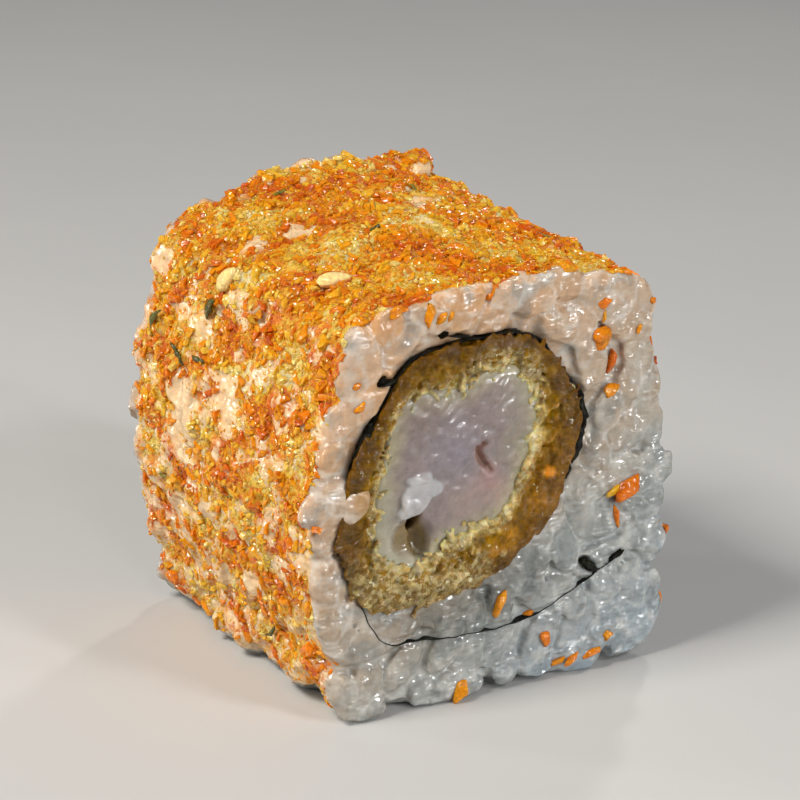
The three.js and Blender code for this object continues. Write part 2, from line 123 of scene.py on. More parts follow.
# Torn bits of nori in the near face as X, Z, the way they lie, half length and half width
NORI_TATTERS = (
    (-12.9, 30.95, 0.12, 1.0, 0.17), (-13.4, 31.25, 0.9, 0.35, 0.14), (-14.8, 25.9, 1.04, 1.5, 0.42), (-14.3, 27.0, 1.5, 0.6, 0.25),
    (10.3, 10.3, -0.65, 1.15, 0.36), (9.7, 10.9, -0.2, 0.5, 0.25), (13.2, 10.8, 0.55, 0.8, 0.17), (8.0, 24.4, 1.5, 0.9, 0.32), (7.2, 21.6, 1.2, 0.9, 0.28),
    (6.2, 19.4, 0.8, 0.8, 0.25), (7.4, 27.0, 2.0, 0.6, 0.25), (-7.5, 34.35, 0.6, 0.4, 0.13), (-5.7, 34.05, -0.1, 1.0, 0.13),
    (-0.5, 33.75, 0.1, 0.7, 0.12), (3.0, 32.3, -0.8, 0.5, 0.15),
)

# Colours of the seasoning that covers the rice, from the reddest crumb to the palest
CARPET_STOPS = (
    (0.0, (0.55, 0.09, 0.003)), (0.22, (0.70, 0.18, 0.003)), (0.48, (0.74, 0.28, 0.006)),
    (0.68, (0.74, 0.40, 0.025)), (0.86, (0.76, 0.52, 0.09)), (1.0, (0.78, 0.62, 0.30)),
)


def along(y):
    """How far along the roll y is, from 0 at the near cut face to 1 at the far one."""
    return (y + CUT) / LENGTH


def place_outer(x, y, z):
    """Where a point of the near face's rolled outline goes at y."""
    far = along(y)
    level = z / CORNERS[1][0][1]
    crown = np.clip(1 - (x / FAR_CROWN_HALF) ** 2, 0, None) * level ** 3
    lean = FAR_LEAN * far * (0.5 - level)
    return x + lean, z * (1 + FAR_HEIGHT_GROWTH * far) + FAR_CROWN_RISE * crown * far


def return_outer(x, y, z):
    """Where on the near face's rolled outline a point of the body comes from."""
    flat_x, flat_z = x, z
    for _ in range(4):
        placed_x, placed_z = place_outer(flat_x, y, flat_z)
        flat_x, flat_z = flat_x + (x - placed_x), flat_z + (z - placed_z)
    return flat_x, flat_z


def place_inner(x, y, z):
    """Where a point of the near face's filling or nori goes at y."""
    far = along(y)
    size = 1 + (FAR_SCALE - 1) * far
    cos, sin = np.cos(FAR_TURN * far) * size, np.sin(FAR_TURN * far) * size
    dx, dz = x - FILLING_CENTRE[0], z - FILLING_CENTRE[1]
    return (
        FILLING_CENTRE[0] + cos * dx - sin * dz + FAR_SHIFT[0] * far,
        FILLING_CENTRE[1] + sin * dx + cos * dz + FAR_SHIFT[1] * far,
    )


def return_inner(x, y, z):
    """Where on the near face's filling or nori a point of the body comes from."""
    far = along(y)
    size = 1 + (FAR_SCALE - 1) * far
    cos, sin = np.cos(FAR_TURN * far) / size, np.sin(FAR_TURN * far) / size
    dx = x - FILLING_CENTRE[0] - FAR_SHIFT[0] * far
    dz = z - FILLING_CENTRE[1] - FAR_SHIFT[1] * far
    return FILLING_CENTRE[0] + cos * dx + sin * dz, FILLING_CENTRE[1] - sin * dx + cos * dz


def curve_piece(start, pull, end, count):
    share = np.linspace(0, 1, count, endpoint=False)[:, None]
    return (1 - share) ** 2 * start + 2 * share * (1 - share) * pull + share ** 2 * end


def towards(start, end, distance):
    return start + (end - start) / np.linalg.norm(end - start) * distance


def rolled_outline():
    """The near face's rolled outline: bulging sides joined by rounded corners."""
    at = [np.array(corner[0]) for corner in CORNERS]
    pieces = []
    for i, (_, _, after, bulge) in enumerate(CORNERS):
        n = (i + 1) % 4
        start = towards(at[i], at[n], after)
        end = towards(at[n], at[i], CORNERS[n][1])
        side = (end - start) / np.linalg.norm(end - start)
        pull = (start + end) / 2 + np.array((-side[1], side[0])) * 2 * bulge
        pieces.append(curve_piece(start, pull, end, 60))
        leave = towards(at[n], at[(n + 1) % 4], CORNERS[n][2])
        pieces.append(curve_piece(end, at[n], leave, 30))
    return np.vstack(pieces)


def smooth_route(route, closed):
    """A smooth line of points through a route's points."""
    points = np.array(route, float)
    if closed:
        around = np.vstack((points[-1:], points, points[:2]))
    else:
        around = np.vstack((2 * points[0] - points[1], points, 2 * points[-1] - points[-2]))
    share = np.linspace(0, 1, 24, endpoint=False)[:, None]
    pieces = []
    for before, start, end, after in zip(around, around[1:], around[2:], around[3:]):
        gap = [np.linalg.norm(b - a) ** 0.5 for a, b in ((before, start), (start, end), (end, after))]
        leave = (start - before) / gap[0] - (end - before) / (gap[0] + gap[1]) + (end - start) / gap[1]
        arrive = (end - start) / gap[1] - (after - start) / (gap[1] + gap[2]) + (after - end) / gap[2]
        leave, arrive = leave * gap[1], arrive * gap[1]
        bend = -3 * start + 3 * end - 2 * leave - arrive
        pieces.append(start + leave * share + bend * share ** 2 + (2 * start - 2 * end + leave + arrive) * share ** 3)
    return np.vstack(pieces + ([] if closed else [points[-1:]]))


def even_steps(line, count, closed=False):
    """Evenly spaced points along a line, with the line's length."""
    joined = np.vstack((line, line[:1])) if closed else line
    way = np.concatenate(([0], np.cumsum(np.linalg.norm(np.diff(joined, axis=0), axis=1))))
    stops = np.linspace(0, way[-1], count, endpoint=not closed)
    return np.stack([np.interp(stops, way, joined[:, i]) for i in (0, 1)], axis=1), way[-1]


class Plan:
    """Distances in X and Z to an outline, below 0 inside it, or to a line of some half-thickness."""

    STEP = 0.2
    LOW = np.array((-26.0, -6.0))
    COUNT = 266

    def __init__(self, line, closed=True, half=0.0):
        steps = np.arange(self.COUNT) * self.STEP
        x, z = np.meshgrid(self.LOW[0] + steps, self.LOW[1] + steps, indexing="ij")
        half = np.broadcast_to(half, len(line))
        ends = np.roll(line, -1, axis=0) if closed else line[1:]
        nearest = np.full(x.shape, 1e3)
        inside = np.zeros(x.shape, bool)
        for i, ((x1, z1), (x2, z2)) in enumerate(zip(line, ends)):
            run_x, run_z = x2 - x1, z2 - z1
            share = ((x - x1) * run_x + (z - z1) * run_z) / max(run_x ** 2 + run_z ** 2, 1e-9)
            share = np.clip(share, 0, 1)
            away = np.hypot(x - x1 - share * run_x, z - z1 - share * run_z)
            nearest = np.minimum(nearest, away - half[i])
            if closed and z1 != z2:
                inside ^= ((z1 > z) != (z2 > z)) & (x < x1 + (z - z1) * run_x / run_z)
        self.grid = np.where(inside, -nearest, nearest)

    def __call__(self, x, z):
        column = np.clip((x - self.LOW[0]) / self.STEP, 0, self.COUNT - 1.001)
        row = np.clip((z - self.LOW[1]) / self.STEP, 0, self.COUNT - 1.001)
        i, j = column.astype(int), row.astype(int)
        u, v = column - i, row - j
        grid = self.grid
        low = grid[i, j] * (1 - v) + grid[i, j + 1] * v
        high = grid[i + 1, j] * (1 - v) + grid[i + 1, j + 1] * v
        return low * (1 - u) + high * u


def wobble(x, y, z, wavelength, seed):
    """A smooth random swell between about -1 and 1."""
    draw = np.random.default_rng(seed)
    total = 0.0
    for _ in range(9):
        direction = draw.normal(size=3)
        direction *= 2 * math.pi / (wavelength * np.linalg.norm(direction) * draw.uniform(0.7, 1.5))
        total = total + np.sin(x * direction[0] + y * direction[1] + z * direction[2] + draw.uniform(0, 6.3))
    return total / 4.2


def smooth_min(a, b, blend):
    overlap = np.clip(blend - np.abs(a - b), 0, None)
    return np.minimum(a, b) - overlap * overlap / (4 * blend)


def smooth_max(a, b, blend):
    return -smooth_min(-a, -b, blend)


def rows(*spans):
    """Sample positions from spans of start, end and step."""
    return np.concatenate([np.arange(start, end, step) for start, end, step in spans])


class Bean:
    """A rounded, slightly bent lump such as a grain of rice or a crumb."""

    def __init__(self, centre, length_axis, up_axis, half, bend=0.0):
        length = np.array(length_axis, float) / np.linalg.norm(length_axis)
        width = np.cross(length, up_axis)
        width /= np.linalg.norm(width)
        self.axes = np.array((length, width, np.cross(width, length)))
        self.centre = np.array(centre, float)
        self.half = np.array(half, float)
        self.bend = bend
        self.cut = None
        self.tone = 0.5

    def distance(self, x, y, z):
        away = (x - self.centre[0], y - self.centre[1], z - self.centre[2])
        u, v, w = (sum(a * d for a, d in zip(axis, away)) for axis in self.axes)
        v = v + self.bend * (u / self.half[0]) ** 2
        near = np.sqrt(sum((d / h) ** 2 for d, h in zip((u, v, w), self.half)))
        slope = np.sqrt(sum((d / h ** 2) ** 2 for d, h in zip((u, v, w), self.half)))
        distance = near * (near - 1) / np.maximum(slope, 1e-6)
        if self.cut is not None:
            distance = smooth_max(distance, np.sign(self.cut) * y - abs(self.cut), 0.4)
        return distance


class Lump:
    """A body's distances on a box of sample points, and the mesh of its surface."""

    def __init__(self, rows_x, rows_y, rows_z):
        self.rows = (rows_x, rows_y, rows_z)
        self.x, self.y, self.z = np.meshgrid(*self.rows, indexing="ij", sparse=True)
        self.distance = None

    def near(self, bean, margin):
        reach = bean.half.max() + abs(bean.bend) + margin
        spans = []
        for sample, at in zip(self.rows, bean.centre):
            spans.append(slice(np.searchsorted(sample, at - reach), np.searchsorted(sample, at + reach)))
        return tuple(spans)

    def add(self, bean, blend, margin=1.0):
        span = self.near(bean, margin)
        x, y, z = self.x[span[0]], self.y[:, span[1]], self.z[:, :, span[2]]
        if x.size and y.size and z.size:
            self.distance[span] = smooth_min(self.distance[span], bean.distance(x, y, z), blend)

    def take_away(self, bean, blend, margin=1.0):
        span = self.near(bean, margin)
        x, y, z = self.x[span[0]], self.y[:, span[1]], self.z[:, :, span[2]]
        if x.size and y.size and z.size:
            self.distance[span] = smooth_max(self.distance[span], -bean.distance(x, y, z), blend)

    def surface(self, least=None):
        """The surface's points and four-sided faces: of the largest body, or of all with at least so many points."""
        grid = openvdb.FloatGrid()
        grid.background = 2.0
        grid.copyFromArray(np.clip(self.distance, -2, 2).astype(np.float32))
        points, quads = grid.convertToQuads(isovalue=0.0)
        quads = quads.astype(np.int64)
        label = np.arange(len(points))
        while True:
            lowest = label[quads].min(axis=1)
            before = label.copy()
            np.minimum.at(label, quads, lowest[:, None])
            label = label[label]
            if (label == before).all():
                break
        names, counts = np.unique(label, return_counts=True)
        kept = np.isin(label, names[counts >= (least or counts.max())])
        quads = quads[kept[quads[:, 0]]]
        number = np.cumsum(kept) - 1
        points = points[kept]
        places = [np.interp(points[:, i], np.arange(len(s)), s) for i, s in enumerate(self.rows)]
        return np.stack(places, axis=1), number[quads]


def outward(points, quads):
    """The faces turned so that they look out of the body."""
    a, b, c, d = (points[quads[:, i]] for i in range(4))
    volume = (np.cross(b - a, c - a) * a).sum() + (np.cross(c - a, d - a) * a).sum()
    return quads if volume > 0 else quads[:, ::-1]


def body_shift():
    """From roll coordinates to the frame's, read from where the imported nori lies."""
    line, _ = even_steps(NORI, 54)
    ends = [np.stack(place_inner(line[:, 0], y, line[:, 1]), axis=1) for y in (-CUT + 0.15, CUT - 0.15)]
    low = np.min([end.min(axis=0) for end in ends], axis=0) - 0.2
    box_low, box_high = (np.array(corner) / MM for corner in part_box("nori"))
    return np.array((box_low[0] - low[0], (box_low[1] + box_high[1]) / 2, box_low[2] - low[1]))


def make_object(name, points, faces, material, smooth=True, attributes=None):
    """A finished piece: its points in roll millimetres become metres in the frame."""
    mesh = bpy.data.meshes.new(name)
    mesh.from_pydata(((np.asarray(points) + SHIFT) * MM).tolist(), [], [list(map(int, f)) for f in faces])
    mesh.polygons.foreach_set("use_smooth", np.full(len(mesh.polygons), smooth))
    for key, values in (attributes or {}).items():
        mesh.attributes.new(key, "FLOAT", "POINT").data.foreach_set("value", np.asarray(values, np.float32))
    mesh.materials.append(material)
    mesh.update()
    piece = bpy.data.objects.new(name, mesh)
    bpy.context.scene.collection.objects.link(piece)
    return piece


def points_of(piece):
    """A piece's points in roll millimetres."""
    flat = np.zeros(len(piece.data.vertices) * 3)
    piece.data.vertices.foreach_get("co", flat)
    return flat.reshape(-1, 3) / MM - SHIFT


def normals_on(piece):
    flat = np.zeros(len(piece.data.vertices) * 3)
    piece.data.vertices.foreach_get("normal", flat)
    return flat.reshape(-1, 3)


def store(piece, name, values):
    attribute = piece.data.attributes.get(name) or piece.data.attributes.new(name, "FLOAT", "POINT")
    attribute.data.foreach_set("value", np.asarray(values, np.float32))


def thin_out(piece, hidden, share):
    """Fewer faces where hidden is true, as where another piece covers the surface."""
    group = piece.vertex_groups.new(name="hidden")
    group.add(np.flatnonzero(hidden).tolist(), 1.0, "REPLACE")
    modifier = piece.modifiers.new("fewer_hidden_faces", "DECIMATE")
    modifier.ratio = share
    modifier.vertex_group = "hidden"
    settle(piece)
    piece.vertex_groups.clear()


def settle(piece):
    """Makes the modifiers' result the piece's own plain mesh."""
    bpy.context.view_layer.update()
    evaluated = piece.evaluated_get(bpy.context.evaluated_depsgraph_get())
    mesh = bpy.data.meshes.new_from_object(evaluated)
    mesh.name = piece.name
    piece.modifiers.clear()
    piece.data = mesh


OUTLINE_LINE, OUTLINE_LENGTH = even_steps(rolled_outline(), 480, closed=True)
NORI = smooth_route(NORI_ROUTE, False)
BATTER = smooth_route(BATTER_ROUTE, True)
FLESH = smooth_route(FLESH_ROUTE, True)
SHIFT = body_shift()
OUTLINE_PLAN = Plan(OUTLINE_LINE)
BATTER_PLAN = Plan(even_steps(BATTER, 160, closed=True)[0])
FLESH_PLAN = Plan(even_steps(FLESH, 140, closed=True)[0])
NORI_LINE, NORI_LENGTH = even_steps(NORI, 420)
NORI_TURN_COUNT = round(len(NORI_LINE) * NORI_TURN_SHARE)
NORI_TURN_PLAN = Plan(NORI_LINE[:NORI_TURN_COUNT:2])
NORI_LINE_PLAN = Plan(NORI_LINE[::2], closed=False)


class RollSizes(bpy.types.PropertyGroup):
    """Sizes of the piece's grains, crumbs and flakes."""

    grain_half_length: bpy.props.FloatProperty(
        name="Grain half length", description="Half the length of a grain of rice",
        default=0.0032, min=0.001, unit="LENGTH")
    grain_half_width: bpy.props.FloatProperty(
        name="Grain half width", description="Half the width of a grain of rice",
        default=0.0016, min=0.0005, unit="LENGTH")
    grain_spacing: bpy.props.FloatProperty(
        name="Grain spacing", description="Least distance between the middles of two grains",
        default=0.0031, min=0.001, unit="LENGTH")
    groove_depth: bpy.props.FloatProperty(
        name="Groove depth", description="How deep the grooves between the outer grains are",
        default=0.0011, min=0.0002, unit="LENGTH")
    rice_step: bpy.props.FloatProperty(
        name="Rice detail", description="Size of the smallest detail of the rice's surface",
        default=0.00033, min=0.0002, unit="LENGTH")
    batter_step: bpy.props.FloatProperty(
        name="Batter detail", description="Size of the smallest detail of the batter's surface",
        default=0.00016, min=0.0001, unit="LENGTH")
    nori_half: bpy.props.FloatProperty(
        name="Nori half thickness", description="Half the thickness of the nori where it lies single",
        default=0.00007, min=0.00005, unit="LENGTH")
    flake_density: bpy.props.FloatProperty(
        name="Flake density", description="Chilli flakes on a square metre of coated rice",
        default=3.1e6, min=0.0)
    crisp_density: bpy.props.FloatProperty(
        name="Crisp density", description="Crisp yellow crumbs on a square metre of coated rice",
        default=1.5e6, min=0.0)
    dust_density: bpy.props.FloatProperty(
        name="Fine crumb density", description="Fine crumbs on a square metre of coated rice",
        default=6.0e6, min=0.0)


class RollColours(bpy.types.PropertyGroup):
    """Main colours of the piece's layers."""

    # Warm rice is the oil's real stain with painted warm light from the orange coat above; cool rice holds painted cool
    # shade.
    rice_warm: bpy.props.FloatVectorProperty(
        name="Warm rice", description="Rice at the top and left rim, stained by the seasoning's oil",
        default=(0.60, 0.345, 0.165), size=3, subtype="COLOR", min=0, max=1)
    rice_plain: bpy.props.FloatVectorProperty(
        name="Plain rice", description="Rice in the middle of the cut face",
        default=(0.35, 0.33, 0.28), size=3, subtype="COLOR", min=0, max=1)
    rice_cool: bpy.props.FloatVectorProperty(
        name="Cool rice", description="Rice low on the cut face",
        default=(0.27, 0.33, 0.37), size=3, subtype="COLOR", min=0, max=1)
    # Painted shade for the rice between the filling and the nori's tail, where the dark nori also shows through.
    rice_shaded: bpy.props.FloatVectorProperty(
        name="Shaded rice", description="How the rice darkens between the filling and the nori's tail",
        default=(0.43, 0.45, 0.44), size=3, subtype="COLOR", min=0, max=1)
    stain: bpy.props.FloatVectorProperty(
        name="Oily rice", description="Bare rice between the seasoning, tinted by its oil",
        default=(0.84, 0.60, 0.34), size=3, subtype="COLOR", min=0, max=1)
    nori: bpy.props.FloatVectorProperty(
        name="Nori", description="Wet nori",
        default=(0.007, 0.006, 0.004), size=3, subtype="COLOR", min=0, max=1)
    batter_brown: bpy.props.FloatVectorProperty(
        name="Batter brown", description="The batter's fried outside",
        default=(0.140, 0.062, 0.001), size=3, subtype="COLOR", min=0, max=1)
    batter_gold: bpy.props.FloatVectorProperty(
        name="Batter gold", description="The batter between its outside and the flesh",
        default=(0.28, 0.140, 0.001), size=3, subtype="COLOR", min=0, max=1)
    batter_cream: bpy.props.FloatVectorProperty(
        name="Batter cream", description="The batter's inside and its crumbs",
        default=(0.62, 0.47, 0.17), size=3, subtype="COLOR", min=0, max=1)
    flesh: bpy.props.FloatVectorProperty(
        name="Flesh", description="Cooked shrimp",
        default=(0.31, 0.25, 0.235), size=3, subtype="COLOR", min=0, max=1)
    flesh_cream: bpy.props.FloatVectorProperty(
        name="Flesh edge", description="The flesh next to the batter",
        default=(0.46, 0.40, 0.27), size=3, subtype="COLOR", min=0, max=1)
    flake_red: bpy.props.FloatVectorProperty(
        name="Red flake", description="The reddest chilli flakes",
        default=(0.58, 0.10, 0.004), size=3, subtype="COLOR", min=0, max=1)
    flake_orange: bpy.props.FloatVectorProperty(
        name="Orange flake", description="Most chilli flakes",
        default=(0.72, 0.19, 0.003), size=3, subtype="COLOR", min=0, max=1)
    flake_amber: bpy.props.FloatVectorProperty(
        name="Amber flake", description="The palest chilli flakes",
        default=(0.75, 0.31, 0.006), size=3, subtype="COLOR", min=0, max=1)
    crisp_yellow: bpy.props.FloatVectorProperty(
        name="Yellow crisp", description="Crisp crumbs",
        default=(0.74, 0.42, 0.030), size=3, subtype="COLOR", min=0, max=1)
    crisp_pale: bpy.props.FloatVectorProperty(
        name="Pale crisp", description="The palest crisp crumbs",
        default=(0.76, 0.56, 0.17), size=3, subtype="COLOR", min=0, max=1)


def sizes():
    return bpy.context.scene.roll_sizes


def colours():
    return bpy.context.scene.roll_colours


# Shader helpers and the node groups that several materials share


def put(tree, kind, inputs=None, **settings):
    """Adds a node, sets it up and links or sets its inputs."""
    node = tree.nodes.new(kind)
    for key, value in settings.items():
        setattr(node, key, value)
    for key, value in (inputs or {}).items():
        if isinstance(value, bpy.types.NodeSocket):
            tree.links.new(value, node.inputs[key])
        else:
            node.inputs[key].default_value = value
    return node


def mix(tree, share, first, second, how="MIX"):
    node = put(tree, "ShaderNodeMix", {0: share}, data_type="RGBA", blend_type=how)
    for index, value in ((6, first), (7, second)):
        if isinstance(value, bpy.types.NodeSocket):
            tree.links.new(value, node.inputs[index])
        else:
            node.inputs[index].default_value = (*value[:3], 1)
    return node.outputs[2]


def sums(tree, how, first, second=0.0, clamp=False):
    return put(tree, "ShaderNodeMath", {0: first, 1: second}, operation=how, use_clamp=clamp).outputs[0]


def spread(tree, value, low, high, to_low=0.0, to_high=1.0):
    """A value's range drawn out to another one, clamped."""
    inputs = {"Value": value, "From Min": low, "From Max": high, "To Min": to_low, "To Max": to_high}
    return put(tree, "ShaderNodeMapRange", inputs).outputs[0]


def noise(tree, place, size_mm, detail=2.0, roughness=0.5):
    """Noise with features about size_mm across."""
    inputs = {"Vector": place, "Scale": 1 / (size_mm * MM), "Detail": detail, "Roughness": roughness}
    return put(tree, "ShaderNodeTexNoise", inputs).outputs["Fac"]


def attribute(tree, name):
    return put(tree, "ShaderNodeAttribute", attribute_name=name).outputs["Fac"]


def object_place(tree):
    return put(tree, "ShaderNodeTexCoord").outputs["Object"]


def shared_group(name, inputs, outputs, fill):
    """A node group, built the first time that a material asks for it."""
    group = bpy.data.node_groups.get(name)
    if group is None:
        group = bpy.data.node_groups.new(name, "ShaderNodeTree")
        for label, kind, value in inputs:
            socket = group.interface.new_socket(label, in_out="INPUT", socket_type=kind)
            if value is not None:
                socket.default_value = value
        for label, kind in outputs:
            group.interface.new_socket(label, in_out="OUTPUT", socket_type=kind)
        taken = group.nodes.new("NodeGroupInput").outputs
        given = group.nodes.new("NodeGroupOutput").inputs
        for label, value in fill(group, taken).items():
            group.links.new(value, given[label])
    return group


def moist_relief(tree, place, size_mm):
    """The height of a wet surface's smooth swells and the short streaks on them."""

    def fill(group, taken):
        swells = put(group, "ShaderNodeTexNoise", {
            "Vector": taken["Place"], "Scale": taken["Scale"], "Detail": 0.0}).outputs["Fac"]
        drawn = put(group, "ShaderNodeMapping", {
            "Vector": taken["Place"], "Rotation": (0.4, 0.8, 0.0), "Scale": (1.0, 1.6, 2.6)}).outputs[0]
        streaks = put(group, "ShaderNodeTexNoise", {
            "Vector": drawn, "Scale": taken["Scale"], "Detail": 0.0}).outputs["Fac"]
        return {"Height": sums(group, "ADD", swells, sums(group, "MULTIPLY", streaks, 0.4))}

    group = shared_group(
        "moist_relief",
        [("Place", "NodeSocketVector", None), ("Scale", "NodeSocketFloat", 1000.0)],
        [("Height", "NodeSocketFloat")], fill)
    return group_node(tree, group, {"Place": place, "Scale": 1 / (size_mm * MM)}).outputs["Height"]


def crumb_carpet(tree, place, size_mm):
    """Flat crumbs lying side by side: a tone for each one, and their height."""

    def fill(group, taken):
        stir = put(group, "ShaderNodeTexNoise", {
            "Vector": taken["Place"], "Scale": sums(group, "MULTIPLY", taken["Scale"], 1.6), "Detail": 2.0})
        push = put(group, "ShaderNodeVectorMath", {0: stir.outputs["Color"], 1: (0.5, 0.5, 0.5)}, operation="SUBTRACT")
        push = put(group, "ShaderNodeVectorMath", {
            0: push.outputs["Vector"], 3: sums(group, "DIVIDE", 1.5, taken["Scale"])}, operation="SCALE")
        at = put(group, "ShaderNodeVectorMath", {0: taken["Place"], 1: push.outputs["Vector"]}, operation="ADD")
        cells = put(group, "ShaderNodeTexVoronoi", {"Vector": at.outputs["Vector"], "Scale": taken["Scale"]})
        tone = put(group, "ShaderNodeSeparateColor", {0: cells.outputs["Color"]}).outputs[0]
        return {"Tone": tone, "Height": sums(group, "SUBTRACT", 1.0, cells.outputs["Distance"])}

    group = shared_group(
        "crumb_carpet",
        [("Place", "NodeSocketVector", None), ("Scale", "NodeSocketFloat", 1000.0)],
        [("Tone", "NodeSocketFloat"), ("Height", "NodeSocketFloat")], fill)
    return group_node(tree, group, {"Place": place, "Scale": 1 / (size_mm * MM)}).outputs


def raised(tree, height, depth_mm, strength=1.0):
    """A normal that follows a height."""
    inputs = {"Height": height, "Distance": depth_mm * MM, "Strength": strength}
    return put(tree, "ShaderNodeBump", inputs).outputs["Normal"]


def ramp(tree, value, stops):
    """Colours picked by a value between stops of position and colour."""
    node = put(tree, "ShaderNodeValToRGB", {0: value})
    while len(node.color_ramp.elements) < len(stops):
        node.color_ramp.elements.new(0.5)
    for element, (position, colour) in zip(node.color_ramp.elements, stops):
        element.position = position
        element.color = (*colour[:3], 1)
    return node.outputs[0]


def blotches(tree, place, size_mm, reach):
    """Noise between about -reach/2 and reach/2."""
    return sums(tree, "MULTIPLY", sums(tree, "SUBTRACT", noise(tree, place, size_mm, 3.0), 0.5), reach)


def group_node(tree, group, inputs):
    node = tree.nodes.new("ShaderNodeGroup")
    node.node_tree = group
    for key, value in inputs.items():
        if isinstance(value, bpy.types.NodeSocket):
            tree.links.new(value, node.inputs[key])
        else:
            node.inputs[key].default_value = value
    return node


def soft_patch(tree, place, centre_mm, radius_mm, edge=0.5):
    """A round patch with a soft, uneven edge, 1 inside and 0 outside."""

    def fill(group, taken):
        away = put(group, "ShaderNodeVectorMath", {0: taken["Place"], 1: taken["Centre"]}, operation="DISTANCE")
        far = sums(group, "DIVIDE", away.outputs["Value"], taken["Radius"])
        uneven = put(group, "ShaderNodeTexNoise", {"Vector": taken["Place"], "Scale": 700.0, "Detail": 3.0})
        shifted = sums(group, "ADD", far, sums(group, "MULTIPLY", sums(group, "SUBTRACT", uneven.outputs["Fac"], 0.5), 0.9))
        start = sums(group, "SUBTRACT", 1.0, taken["Edge"])
        share = put(group, "ShaderNodeMapRange", {
            "Value": shifted, "From Min": start, "From Max": 1.0, "To Min": 1.0, "To Max": 0.0})
        return {"Mask": share.outputs[0]}

    group = shared_group(
        "soft_patch",
        [("Place", "NodeSocketVector", None), ("Centre", "NodeSocketVector", None),
         ("Radius", "NodeSocketFloat", 0.001), ("Edge", "NodeSocketFloat", 0.5)],
        [("Mask", "NodeSocketFloat")], fill)
    centre = tuple((np.array(centre_mm) + SHIFT) * MM)
    return group_node(tree, group, {"Place": place, "Centre": centre, "Radius": radius_mm * MM, "Edge": edge}).outputs["Mask"]


def mottle(tree, place, size_mm, colour, low, high):
    """A colour made darker and lighter in small uneven spots."""

    def fill(group, taken):
        spots = put(group, "ShaderNodeTexNoise", {
            "Vector": taken["Place"], "Scale": taken["Scale"], "Detail": 4.0, "Roughness": 0.6}).outputs["Fac"]
        share = put(group, "ShaderNodeMapRange", {
            "Value": spots, "From Min": 0.3, "From Max": 0.7, "To Min": taken["Darkest"], "To Max": taken["Lightest"]})
        scaled = put(group, "ShaderNodeVectorMath", {0: taken["Colour"], 3: share.outputs[0]}, operation="SCALE")
        return {"Colour": scaled.outputs["Vector"]}

    group = shared_group(
        "mottle",
        [("Place", "NodeSocketVector", None), ("Scale", "NodeSocketFloat", 1000.0),
         ("Colour", "NodeSocketColor", None), ("Darkest", "NodeSocketFloat", 0.8), ("Lightest", "NodeSocketFloat", 1.2)],
        [("Colour", "NodeSocketColor")], fill)
    inputs = {"Place": place, "Scale": 1 / (size_mm * MM), "Colour": colour, "Darkest": low, "Lightest": high}
    return group_node(tree, group, inputs).outputs["Colour"]


def new_material(name, **constants):
    """A material with its Principled shader's plain values set; returns it, its tree and shader."""
    material = bpy.data.materials.new(name)
    material.use_nodes = True
    tree = material.node_tree
    shader = tree.nodes["Principled BSDF"]
    for key, value in constants.items():
        shader.inputs[key.replace("_", " ")].default_value = value
    return material, tree, shader


def connect(tree, shader, **links):
    for key, value in links.items():
        tree.links.new(value, shader.inputs[key.replace("_", " ")])


